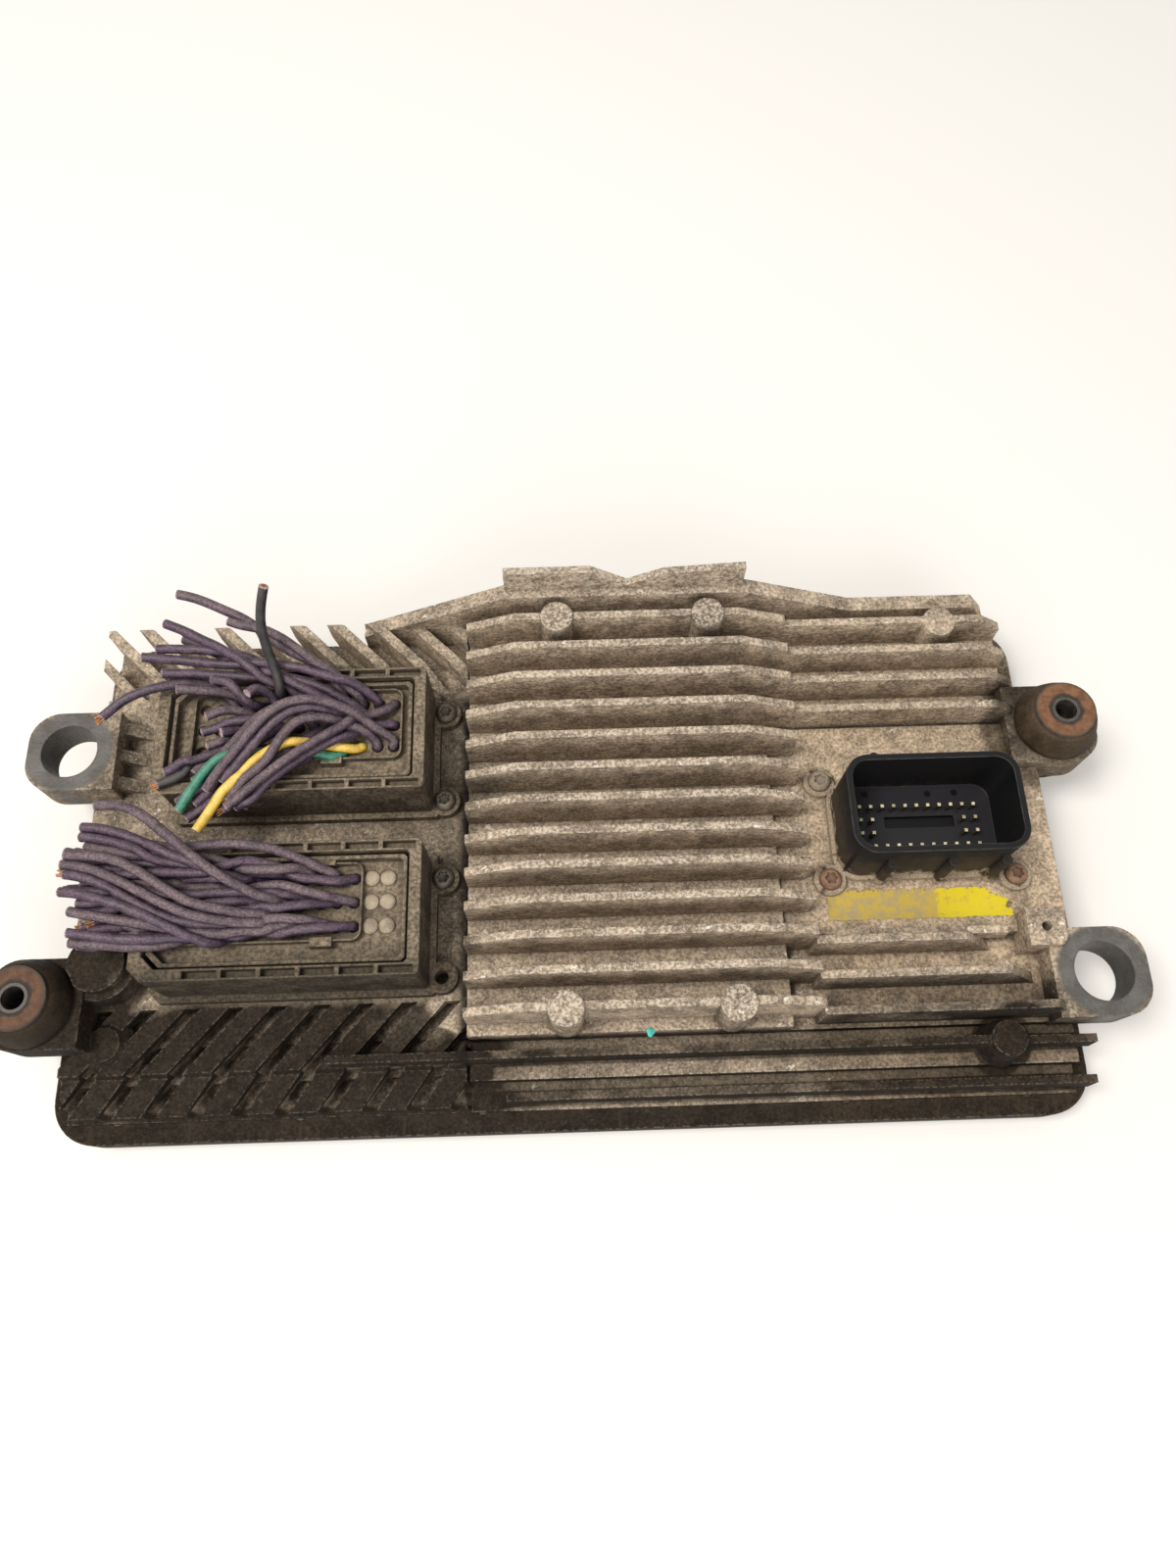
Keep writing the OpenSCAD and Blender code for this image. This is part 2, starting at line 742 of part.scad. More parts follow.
csk_h = 2.2;
module base_cover() {
    color("#6f675c") difference() {
        rise(0, cover_t) rounded(rim_w, rim_d, rim_r);
        boltWays();
        coverScrewPlaces() {
            translate([0, 0, -embed]) cylinder(h = cover_t + 2 * embed, d = cover_screw_d + 4 * fit);
            cylinder(h = csk_h + fit, d1 = 2 * cover_screw_d + 2 * fit, d2 = cover_screw_d);
        }
    }
}
module cover_gasket() {
    color("#2b2b2b") difference() {
        rise(cover_t, base_z) difference() {
            rounded(rim_w - 2 * gasket_in, rim_d - 2 * gasket_in, rim_r - gasket_in);
            tray();
        }
        boltWays();
        coverScrewPlaces() cylinder(h = base_z + embed, d = cover_screw_d + 4 * fit);
    }
}
module cover_screws() {
    color("#77736c") coverScrewPlaces() {
        cylinder(h = csk_h, d1 = 2 * cover_screw_d, d2 = cover_screw_d - fit);
        cylinder(h = cover_screw_l, d = cover_screw_d);
    }
}

module circuit_board() {
    color("#20522e") difference() {
        rise(board_z, board_top) rounded(board_w, board_d, board_corner);
        boardScrewPlaces() translate([0, 0, board_z - embed])
            cylinder(h = board_t + 2 * embed, d = board_screw_d + 2 * fit);
        rise(board_z - embed, board_top + embed) {
            translate([header_x, header_y]) headerPinPlaces() square(pin_w + 2 * fit, center = true);
            for (y = [upper_y, lower_y])
                translate([0, y]) cavityPlaces(0) square(pin_w + 2 * fit, center = true);
        }
    }
}
module board_screws() {
    color("#8d8f92") boardScrewPlaces() {
        translate([0, 0, board_z - board_head_h]) cylinder(h = board_head_h, d = 2 * board_screw_d);
        translate([0, 0, board_z - board_head_h / 2])
            cylinder(h = board_head_h / 2 + board_t + board_screw_bite, d = board_screw_d);
    }
}

// Parts on the board: chips, power transistors along the front wall, capacitors and coils along the back
part_corner = 0.6;
processor_w = 28;
processor_h = 2.6;
memory_w = 14;
memory_d = 18;
memory_h = 2;
memory_x = 30;
memory_dy = 12;
transistor_w = 8;
transistor_d = 9;
transistor_h = 4.4;
transistor_pitch = 10;
transistor_count = 9;
transistor_first = -20;
transistor_gap = 2.5;
crystal_w = 4.6;
crystal_d = 11;
crystal_h = 3.6;
crystal_r = 2.2;
crystal_x = -22;
capacitor_d = 12;
capacitor_h = 15;
capacitor_pitch = 14;
capacitor_count = 4;
capacitor_in = 12;
tall_row_in = 16;
coil_d = 14;
coil_h = 12;
coil_post_d = 7;
coil_flange_t = 2;
coil_winding_d = 12.6;
coil_pitch = 16;
coil_count = 2;
coil_in = 73;
transistor_y = fromFront(pocket_front) + transistor_gap + transistor_d / 2;
tall_row_y = fromFront(pocket_back) - tall_row_in;
chip_y = fromFront((pocket_front + pocket_back) / 2);
module onBoard(x, y) { translate([x, y, board_top]) children(); }
module coilPlaces() {
    for (i = [0 : coil_count - 1])
        onBoard(block_left + coil_in + i * coil_pitch, tall_row_y) children();
}
module processor_chip() {
    color("#242426") onBoard(0, chip_y) linear_extrude(processor_h)
        rounded(processor_w, processor_w, part_corner);
}
module memory_chips() {
    color("#2a2a2c") for (sy = [-1, 1])
        onBoard(memory_x, chip_y + sy * memory_dy) linear_extrude(memory_h)
            rounded(memory_w, memory_d, part_corner);
}
module power_transistors() {
    color("#303033") for (i = [0 : transistor_count - 1])
        onBoard(transistor_first + i * transistor_pitch, transistor_y)
            linear_extrude(transistor_h) rounded(transistor_w, transistor_d, part_corner);
}
module crystal_can() {
    color("#b9bcc0") onBoard(crystal_x, chip_y) linear_extrude(crystal_h)
        rounded(crystal_w, crystal_d, crystal_r);
}
module capacitors() {
    color("#3a3f52") for (i = [0 : capacitor_count - 1])
        onBoard(block_left + capacitor_in + i * capacitor_pitch, tall_row_y)
            cylinder(h = capacitor_h, d = capacitor_d);
}
module coil_cores() {
    color("#3d3b3a") coilPlaces() {
        cylinder(h = coil_flange_t, d = coil_d);
        cylinder(h = coil_h, d = coil_post_d);
        translate([0, 0, coil_h - coil_flange_t]) cylinder(h = coil_flange_t, d = coil_d);
    }
}
module coil_windings() {
    color("#a8622f") coilPlaces() translate([0, 0, coil_flange_t]) difference() {
        cylinder(h = coil_h - 2 * coil_flange_t, d = coil_winding_d);
        translate([0, 0, -embed]) cylinder(h = coil_h, d = coil_post_d);
    }
}

// Pin header on the right deck
module headerPinPlaces() {
    for (i = [0 : pin_cols - 1], j = [0 : pin_rows - 1])
        if (j == 0 || j == pin_rows - 1 || i < pin_side_cols || i >= pin_cols - pin_side_cols)
            translate([
                (i - (pin_cols - 1) / 2) * pin_pitch + pin_shift_x,
                (j - (pin_rows - 1) / 2) * pin_row_pitch + pin_shift_y
            ]) children();
}
module headerFlange() {
    headerRing(-header_flange_out);
    for (sx = [-1, 1], sy = [-1, 1])
        translate([sx * header_screw_dx, sy * header_screw_dy]) circle(lug_r);
}
module headerRing(inset) { rounded(header_w - 2 * inset, header_d - 2 * inset, header_r - inset); }
module headerSealRing() {
    difference() {
        headerRing(seal_in);
        headerRing(seal_in + seal_w);
    }
}
module header_seal() {
    color("#333333") translate([header_x, header_y, right_deck_z]) linear_extrude(seal_t) headerSealRing();
}
module pin_header() {
    color("#1c1c1e") translate([header_x, header_y, 0]) difference() {
        union() {
            rise(right_deck_z, right_deck_z + header_flange_t) headerFlange();
            rise(right_deck_z, header_rim_z) headerRing(0);
            rise(right_deck_z - roof_t, right_deck_z + embed) headerWindow(2 * fit);
            for (x = nub_xs) translate([x, -header_d / 2 - nub_out, right_deck_z])
                cylinder(h = header_h - nub_drop, d = nub_d);
            translate([back_nub_x, header_d / 2 + back_nub_out, right_deck_z])
                cylinder(h = header_h - back_nub_drop, d = nub_d);
        }
        rise(header_floor_z, far) headerRing(header_wall);
        rise(right_deck_z - embed, right_deck_z + seal_t) headerSealRing();
        translate([key_x - key_w / 2, key_y - key_d / 2, header_floor_z - key_deep])
            cube([key_w, key_d, far]);
        rise(-embed, far) headerPinPlaces() square(pin_w + fit, center = true);
        for (sx = [-1, 1], sy = [-1, 1])
            translate([sx * header_screw_dx, sy * header_screw_dy, 0])
                cylinder(h = far, d = screw_d + 2 * fit);
    }
}
module header_pins() {
    color("#c9a24a") translate([header_x, header_y, 0])
        rise(board_z - pin_tail, header_floor_z + pin_rise) headerPinPlaces() square(pin_w, center = true);
}
module panScrew(z) {
    translate([0, 0, z]) {
        cylinder(h = head_rim_h, d = head_d);
        translate([0, 0, head_rim_h])
            cylinder(h = head_h - head_rim_h, d1 = head_d, d2 = head_d - head_crown);
        translate([0, 0, -screw_l]) cylinder(h = screw_l + embed, d = screw_d);
    }
}
module header_screws() {
    color("#8a5a3c") headerScrewPlaces() panScrew(right_deck_z + header_flange_t);
}

// Harness sockets: a shroud with a flange, cut corners towards the left and slots along its long walls
module socketOutline(grow) {
    w = socket_w / 2 + grow;
    d = socket_d / 2 + grow;
    polygon([
        [-w, -d + corner_cut], [-w + corner_cut, -d], [w - edge_cut, -d], [w, -d + edge_cut],
        [w, d - edge_cut], [w - edge_cut, d], [-w + corner_cut, d], [-w, d - corner_cut]
    ]);
}
module socketFlange() {
    socketOutline(socket_flange_out);
    for (p = socket_screw_spots) translate(p) circle(lug_r);
}
module socketSealRing() {
    difference() {
        socketOutline(-seal_in);
        socketOutline(-seal_in - seal_w);
    }
}
module cavityPlaces(skip) {
    for (i = [0 : cavity_cols - 1 - skip], j = [0 : cavity_rows - 1])
        translate([cavityX(i), cavityY(j)]) children();
}
module socketBody(y) {
    color("#34302b") difference() {
        translate([socket_x, y, 0]) {
            rise(left_deck_z, left_deck_z + socket_flange_t) socketFlange();
            rise(left_deck_z, socket_rim_z) socketOutline(0);
            rise(left_deck_z - roof_t, left_deck_z + embed) socketWindow(2 * fit);
        }
        translate([socket_x, y, 0]) {
            rise(socket_floor_z, far) socketOutline(-socket_wall);
            for (sy = [-1, 1], i = [0 : slot_count - 1])
                translate([
                    socket_w / 2 - slot_end - slot_l - i * slot_pitch,
                    sy * (socket_d / 2 - socket_wall / 2) - slot_w / 2, socket_rim_z - slot_deep
                ]) cube([slot_l, slot_w, far]);
            for (p = socket_screw_spots) translate([p[0], p[1], 0]) cylinder(h = far, d = screw_d + 2 * fit);
            rise(left_deck_z - embed, left_deck_z + seal_t) socketSealRing();
        }
        translate([0, y, 0]) rise(-embed, far) cavityPlaces(0) square(pin_w + fit, center = true);
    }
}
module socketSeal(y) {
    color("#333333") translate([socket_x, y, left_deck_z]) linear_extrude(seal_t) socketSealRing();
}
module socketPins(y) {
    color("#c9a24a") translate([0, y, 0]) rise(board_z - pin_tail, socket_floor_z + socket_pin_rise)
        cavityPlaces(0) square(pin_w, center = true);
}
module plugBody(y, blanks) {
    inset = -socket_wall - plug_gap;
    ridge_w = (cavity_cols - blanks) * cavity_pitch + ridge_t;
    ridge_d = cavity_rows * cavity_row_pitch + ridge_margin;
    ridge_x = cavityX((cavity_cols - 1 - blanks) / 2) - socket_x;
    color("#3b352d") difference() {
        translate([socket_x, y, 0]) {
            rise(socket_floor_z, plug_top_z) socketOutline(inset);
            translate([ridge_x, cavity_lift]) rise(plug_top_z - embed, plug_top_z + ridge_h) difference() {
                rounded(ridge_w, ridge_d, ridge_corner);
                rounded(ridge_w - 2 * ridge_t, ridge_d - 2 * ridge_t, ridge_corner - ridge_t);
            }
            rise(plug_top_z - embed, plug_top_z + plug_lip_h) difference() {
                socketOutline(inset);
                socketOutline(inset - plug_lip_t);
            }
            for (sy = [-1, 1])
                translate([latch_x, cavity_lift + sy * (ridge_d / 2 + latch_out)])
                    rise(plug_top_z - embed, plug_top_z + latch_h) square([latch_w, latch_d], center = true);
        }
        translate([0, y, 0]) {
            rise(socket_floor_z - embed, socket_floor_z + terminal_h + 2 * fit) cavityPlaces(0)
                square(terminal_w + 2 * fit, center = true);
            rise(plug_top_z - cavity_deep, far) cavityPlaces(0) circle(d = cavity_d, $fn = 24);
        }
    }
}
module terminals(y, blanks) {
    color("#b08d4a") translate([0, y, 0]) rise(socket_floor_z, socket_floor_z + terminal_h)
        cavityPlaces(blanks) difference() {
            square(terminal_w, center = true);
            square(pin_w + 2 * fit, center = true);
        }
}
module upper_socket() { socketBody(upper_y); }
module lower_socket() { socketBody(lower_y); }
module upper_socket_seal() { socketSeal(upper_y); }
module lower_socket_seal() { socketSeal(lower_y); }
module upper_socket_pins() { socketPins(upper_y); }
module lower_socket_pins() { socketPins(lower_y); }
module upper_plug() { plugBody(upper_y, 0); }
module lower_plug() { plugBody(lower_y, blank_cols); }
module upper_terminals() { terminals(upper_y, 0); }
module lower_terminals() { terminals(lower_y, blank_cols); }
module socket_screws() {
    color("#6b6257") socketScrewPlaces(false) panScrew(left_deck_z + socket_flange_t);
}
// Rubber plugs in the cavities of the lower plug that hold no wire
module cavity_plugs() {
    color("#7a6d5a") for (i = [cavity_cols - blank_cols : cavity_cols - 1], j = [0 : cavity_rows - 1])
        translate([cavityX(i), lower_y + cavityY(j), plug_top_z - cavity_deep]) {
            cylinder(h = cavity_deep, d = cavity_d - 2 * fit, $fn = 24);
            translate([0, 0, cavity_deep])
                cylinder(h = stopper_h, d1 = stopper_d, d2 = stopper_d - stopper_taper, $fn = 24);
        }
}

// Rubber isolator with a groove round its ear, a steel sleeve and a washer at each end
iso_z0 = ear_z - collar_h;
iso_z1 = ear_top_z + collar_h;
iso_taper = 3;
iso_straight = 3.6;
module isolator(side) {
    color("#5a4c3e") eachIsolator(side) rotate_extrude() polygon([
        [sleeve_d / 2 + fit, iso_z0], [rubber_d / 2 - iso_taper, iso_z0],
        [rubber_d / 2, ear_z - iso_straight],
        [rubber_d / 2, ear_z], [ear_bore / 2 - fit, ear_z], [ear_bore / 2 - fit, ear_top_z],
        [rubber_d / 2, ear_top_z], [rubber_d / 2, ear_top_z + iso_straight],
        [rubber_d / 2 - iso_taper, iso_z1], [sleeve_d / 2 + fit, iso_z1]
    ]);
}
module sleeve(side) {
    color("#8f8b84") eachIsolator(side) difference() {
        translate([0, 0, iso_z0 - washer_t]) cylinder(h = iso_z1 - iso_z0 + 2 * washer_t, d = sleeve_d);
        translate([0, 0, iso_z0 - washer_t - embed]) cylinder(h = far, d = sleeve_bore);
    }
}
module left_isolator() { isolator(-1); }
module right_isolator() { isolator(1); }
module left_sleeve() { sleeve(-1); }
module right_sleeve() { sleeve(1); }
module isolator_washers() {
    color("#8a5232") for (side = [-1, 1], z = [iso_z0 - washer_t, iso_z1])
        eachIsolator(side) translate([0, 0, z]) difference() {
            cylinder(h = washer_t, d = washer_d);
            translate([0, 0, -embed]) cylinder(h = far, d = sleeve_d + 2 * fit);
        }
}

// Cut harness wires: two bundles that lie over the plugs, and single wires that stray from them
bundle_gap = 0.3;
bundle_z = socket_rim_z + bundle_gap;
upper_bundle_h = 15.7;
lower_bundle_h = 7.7;
wire_color = "#5d4f68";
module bundleFoot(y, blanks) {
    w = (cavity_cols - blanks) * cavity_pitch;
    x = cavityX((cavity_cols - 1 - blanks) / 2);
    translate([x, y + cavity_lift, 0]) rise(plug_top_z, bundle_z + embed)
        square([w - ridge_t - 2 * foot_side, cavity_rows * cavity_row_pitch - foot_gap], center = true);
}
module upper_bundle() {
    color(wire_color) {
        bundleFoot(upper_y, 0);
        rise(bundle_z, bundle_z + upper_bundle_h) polygon([
            [-48, 26], [-48, 44], [-75, 46], [-95, 60], [-122, 72], [-131, 60], [-126, 42], [-116, 30],
            [-122, 20], [-108, 14], [-96, 17], [-75, 22]
        ]);
    }
}
module lower_bundle() {
    color(wire_color) {
        bundleFoot(lower_y, blank_cols);
        rise(bundle_z, bundle_z + lower_bundle_h) polygon([
            [-62, -32], [-62, -12], [-100, -8], [-138, 10], [-144, 4], [-148, -8], [-148, -22], [-144, -32],
            [-105, -34]
        ]);
    }
}

// A round tube swept along a list of points, with one ring of corners at each point
tube_sides = 8;
function unit(v) = v / norm(v);
function heading(p, i) = unit(p[min(i + 1, len(p) - 1)] - p[max(i - 1, 0)]);
function across(t) = unit(cross(t, abs(t[2]) > 0.9 ? [1, 0, 0] : [0, 0, 1]));
function ring(p, i, r) = let (t = heading(p, i), a = across(t), b = cross(t, a))
    [for (k = [0 : tube_sides - 1]) let (turn = k * 360 / tube_sides)
        p[i] + r * (cos(turn) * a + sin(turn) * b)];
module tube(p, d) {
    n = len(p);
    last = (n - 1) * tube_sides;
    points = [for (i = [0 : n - 1]) each ring(p, i, d / 2)];
    sides = [for (i = [0 : n - 2], k = [0 : tube_sides - 1])
        let (a = i * tube_sides + k, b = i * tube_sides + (k + 1) % tube_sides)
        [a, a + tube_sides, b + tube_sides, b]];
    polyhedron(points, concat(
        [[for (k = [0 : tube_sides - 1]) k]], sides, [[for (k = [tube_sides - 1 : -1 : 0]) last + k]]
    ));
}
green_route = [[-113.3, 15.5, 57], [-115.3, 11, 56], [-117, 6.5, 53]];
yellow_route = [[-101.8, 14.6, 58], [-102.5, 10.5, 57.5], [-105.5, 5, 56], [-110, 0.5, 52.5]];
dark_route = [[-88, 48, 67], [-88, 52, 74], [-87, 58, 82], [-86, 62, 87]];
long_route = [[-99.5, 63.3, 60], [-100.5, 67.3, 60], [-106, 71, 60], [-114, 75, 59], [-121, 78, 58]];
side_route = [[-128.2, 47.2, 59], [-133, 45.5, 59], [-137.5, 42, 58.5], [-141, 37.7, 57]];
module green_wire() { color("#14806a") tube(green_route, wire_d); }
module yellow_wire() { color("#e0b83e") tube(yellow_route, wire_d); }
module dark_wire() { color("#35323a") tube(dark_route, wire_d); }
module long_wire() { color(wire_color) tube(long_route, wire_d); }
module side_wire() { color(wire_color) tube(side_route, wire_d); }

housing();
base_cover();
cover_gasket();
cover_screws();
circuit_board();
board_screws();
processor_chip();
memory_chips();
power_transistors();
crystal_can();
capacitors();
coil_cores();
coil_windings();
pin_header();
header_pins();
header_screws();
header_seal();
upper_socket();
lower_socket();
upper_socket_pins();
lower_socket_pins();
socket_screws();
upper_socket_seal();
lower_socket_seal();
upper_plug();
lower_plug();
upper_terminals();
lower_terminals();
cavity_plugs();
left_isolator();
right_isolator();
left_sleeve();
right_sleeve();
isolator_washers();
upper_bundle();
lower_bundle();
green_wire();
yellow_wire();
dark_wire();
long_wire();
side_wire();
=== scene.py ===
import math
import random
import bmesh
import bpy
import numpy as np
from mathutils import Matrix, Vector


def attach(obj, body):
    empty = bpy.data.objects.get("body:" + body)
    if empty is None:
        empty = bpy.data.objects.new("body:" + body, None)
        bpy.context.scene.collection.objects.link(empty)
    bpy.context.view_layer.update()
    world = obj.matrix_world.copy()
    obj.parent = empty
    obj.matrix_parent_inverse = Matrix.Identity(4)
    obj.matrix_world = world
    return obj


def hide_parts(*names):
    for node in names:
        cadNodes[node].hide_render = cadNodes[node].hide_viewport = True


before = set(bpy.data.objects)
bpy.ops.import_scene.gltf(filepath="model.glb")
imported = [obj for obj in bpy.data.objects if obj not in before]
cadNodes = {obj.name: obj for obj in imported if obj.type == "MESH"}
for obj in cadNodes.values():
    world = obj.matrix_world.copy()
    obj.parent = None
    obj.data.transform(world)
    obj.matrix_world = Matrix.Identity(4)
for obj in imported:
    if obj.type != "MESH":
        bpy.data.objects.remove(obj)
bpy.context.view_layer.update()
mm = 0.001
print("frame loaded with", len(cadNodes), "nodes")


# camera where the photographer stood: close, in front and high above the cover
cameraSetup = {"place": (0.00334, -0.10834, 0.358), "tilt": 21.5, "turn": 1.8, "lens": 24.95, "sensor": 36,
               "clip": (0.01, 30)}


def makeCamera(setup):
    lens = bpy.data.cameras.new("photoCamera")
    lens.lens, lens.sensor_width = setup["lens"], setup["sensor"]
    lens.clip_start, lens.clip_end = setup["clip"]
    cam = bpy.data.objects.new("photoCamera", lens)
    bpy.context.collection.objects.link(cam)
    turn = Matrix.Rotation(math.radians(-setup["turn"]), 4, "Z")
    tilt = Matrix.Rotation(math.radians(setup["tilt"]), 4, "X")
    cam.matrix_world = Matrix.Translation(setup["place"]) @ turn @ tilt
    bpy.context.scene.camera = cam


makeCamera(cameraSetup)


# small helpers for node trees: a socket's value is a number, a colour or another node's output
def fill(tree, made, sockets):
    for key, value in sockets.items():
        if isinstance(value, bpy.types.NodeSocket):
            tree.links.new(value, made.inputs[key])
        else:
            made.inputs[key].default_value = value


def put(tree, kind, sockets=None, **props):
    made = tree.nodes.new("ShaderNode" + kind)
    for key, value in props.items():
        setattr(made, key, value)
    fill(tree, made, sockets or {})
    return made


def rgba(colour):
    return (*colour, 1.0)


def mixColour(tree, amount, first, second, blend="MIX"):
    first, second = (rgba(colour) if isinstance(colour, tuple) else colour for colour in (first, second))
    made = put(tree, "Mix", {0: amount, 6: first, 7: second}, data_type="RGBA", blend_type=blend)
    return made.outputs[2]


def tint(tree, colour, factor):
    return mixColour(tree, 1.0, colour, factor, "MULTIPLY")


def sums(tree, operation, first, second=0.5):
    return put(tree, "Math", {0: first, 1: second}, operation=operation).outputs[0]


def times(tree, first, *others):
    for other in others:
        first = sums(tree, "MULTIPLY", first, other)
    return first


def plus(tree, first, second):
    return sums(tree, "ADD", first, second)


def minus(tree, first, second):
    return sums(tree, "SUBTRACT", first, second)


def peak(tree, first, second):
    return sums(tree, "MAXIMUM", first, second)


def apart(tree, value, spot):
    return sums(tree, "ABSOLUTE", minus(tree, value, spot))


def clamp(tree, value):
    return put(tree, "Clamp", {0: value}).outputs[0]


def split(tree, vector):
    return put(tree, "SeparateXYZ", {0: vector}).outputs


def ramp(tree, value, low, high, toLow=0.0, toHigh=1.0):
    made = put(tree, "MapRange", {"Value": value, "From Min": low, "From Max": high, "To Min": toLow,
                                  "To Max": toHigh}, interpolation_type="SMOOTHSTEP")
    return made.outputs[0]


def objectPlace(tree):
    return put(tree, "TexCoord").outputs["Object"]


# distance from an upright axis
def axisDistance(tree, place, spot):
    flat = put(tree, "VectorMath", {0: place, 1: (1, 1, 0)}, operation="MULTIPLY").outputs[0]
    return put(tree, "VectorMath", {0: flat, 1: (*spot, 0)}, operation="DISTANCE").outputs["Value"]


def newMaterial(name):
    mat = bpy.data.materials.new(name)
    mat.use_nodes = True
    return mat, mat.node_tree, mat.node_tree.nodes["Principled BSDF"]


def newGroup(name, inputs, outputs):
    group = bpy.data.node_groups.new(name, "ShaderNodeTree")
    for label, kind, value in inputs:
        socket = group.interface.new_socket(label, in_out="INPUT", socket_type="NodeSocket" + kind)
        socket.default_value = value
    for label, kind in outputs:
        group.interface.new_socket(label, in_out="OUTPUT", socket_type="NodeSocket" + kind)
    return group, group.nodes.new("NodeGroupInput").outputs, group.nodes.new("NodeGroupOutput")


def useGroup(tree, group, sockets):
    made = tree.nodes.new("ShaderNodeGroup")
    made.node_tree = group
    fill(tree, made, sockets)
    return made.outputs


# speckle: blotches, mottling and grain of a dirty surface, as label, share of the scale and detail
speckleLayers = (("Blotch", 0.2, 3.0), ("Mottle", 1.0, 6.0), ("Grain", 6.0, 3.0))


def makeSpeckle():
    group, source, result = newGroup("speckle", [("Scale", "Float", 180.0)],
                                     [(label, "Float") for label, share, detail in speckleLayers])
    place = objectPlace(group)
    for label, share, detail in speckleLayers:
        noise = put(group, "TexNoise", {"Vector": place, "Scale": times(group, source["Scale"], share),
                                        "Detail": detail, "Roughness": 0.62})
        fill(group, result, {label: noise.outputs["Fac"]})
    return group


# edge masks: worn outer edges, inner corners found by occlusion for grime, dust and painted shade, and a
# softened normal
def makeEdgeMasks():
    group, source, result = newGroup("edgeMasks", [("Radius", "Float", 0.0008), ("Reach", "Float", 0.012)],
                                     [("Edge", "Float"), ("Cavity", "Float"), ("Rounded", "Vector")])
    soft = put(group, "Bevel", {"Radius": source["Radius"]}, samples=6).outputs[0]
    flat = put(group, "NewGeometry").outputs["True Normal"]
    bend = put(group, "VectorMath", {0: soft, 1: flat}, operation="DOT_PRODUCT").outputs["Value"]
    shade = put(group, "AmbientOcclusion", {"Distance": source["Reach"]}, samples=6).outputs["AO"]
    edge = times(group, ramp(group, bend, 0.985, 0.8), ramp(group, shade, 0.55, 0.85))
    fill(group, result, {"Edge": edge, "Cavity": ramp(group, shade, 0.92, 0.25), "Rounded": soft})
    return group


# dust that settles on faces that look up, in patches
def makeDustCoat():
    group, source, result = newGroup("dustCoat", [("Color", "Color", (0.2, 0.2, 0.2, 1)),
                                                  ("Dust", "Color", (0.4, 0.3, 0.2, 1)),
                                                  ("Amount", "Float", 0.5), ("Patch", "Float", 0.5)],
                                     [("Color", "Color")])
    up = split(group, put(group, "NewGeometry").outputs["True Normal"])["Z"]
    patch = ramp(group, source["Patch"], 0.32, 0.62, 0.25, 1.0)
    mask = times(group, ramp(group, up, 0.1, 0.9), patch, source["Amount"])
    fill(group, result, {"Color": mixColour(group, mask, source["Color"], source["Dust"])})
    return group


speckle, edgeMasks, dustCoat = makeSpeckle(), makeEdgeMasks(), makeDustCoat()

# what a look holds unless it says otherwise
plainLook = {"dust": (0.1, 0.1, 0.1), "dustAmount": 0.1, "bump": 0.1, "grain": 0.15, "depth": 0.0006,
             "metal": 0.0, "specular": 0.5}


def makeFinish(name, own):
    look = {**plainLook, **own}
    mat, tree, shader = newMaterial(name)
    spots = useGroup(tree, speckle, {"Scale": look["scale"]})
    colour = mixColour(tree, ramp(tree, spots["Mottle"], 0.35, 0.68), look["base"], look["light"])
    patch = put(tree, "Math", {0: spots["Blotch"], 1: 0.5, 2: times(tree, spots["Mottle"], 0.5)},
                operation="MULTIPLY_ADD").outputs[0]
    colour = useGroup(tree, dustCoat, {"Color": colour, "Dust": rgba(look["dust"]),
                                       "Amount": look["dustAmount"], "Patch": patch})["Color"]
    colour = tint(tree, colour, ramp(tree, spots["Grain"], 0.36, 0.64, 1 - look["grain"], 1 + look["grain"]))
    height = plus(tree, spots["Mottle"], times(tree, spots["Grain"], 0.5))
    bump = put(tree, "Bump", {"Strength": look["bump"], "Distance": look["depth"], "Height": height})
    if "edges" in look:
        edges = useGroup(tree, edgeMasks, {"Radius": look["edges"], "Reach": look["reach"]})
        # hollows found by occlusion take the hollow colour: painted shade and grime where it is darker than
        # the base, dust on the socket plastic where it is lighter
        colour = mixColour(tree, times(tree, edges["Cavity"], look["grimeAndShadeAmount"]), colour, look["grimeAndShade"])
        chips = ramp(tree, spots["Grain"], 0.42, 0.62, 0.15, 1.0)
        colour = mixColour(tree, times(tree, edges["Edge"], chips, look["wearAmount"]), colour, look["worn"])
        fill(tree, bump, {"Normal": edges["Rounded"]})
    # darker along one axis: the socket plastic towards the front, the isolator rubber towards the left
    if "gradientDarkening" in look:
        axis, start, end, share = look["gradientDarkening"]
        where = split(tree, objectPlace(tree))[axis]
        colour = tint(tree, colour, ramp(tree, where, start, end, 1.0, share))
    fill(tree, shader, {"Base Color": colour, "Normal": bump.outputs[0], "Metallic": look["metal"],
                        "Roughness": ramp(tree, spots["Mottle"], 0.3, 0.7, *look["rough"]),
                        "Specular IOR Level": look["specular"]})
    return mat
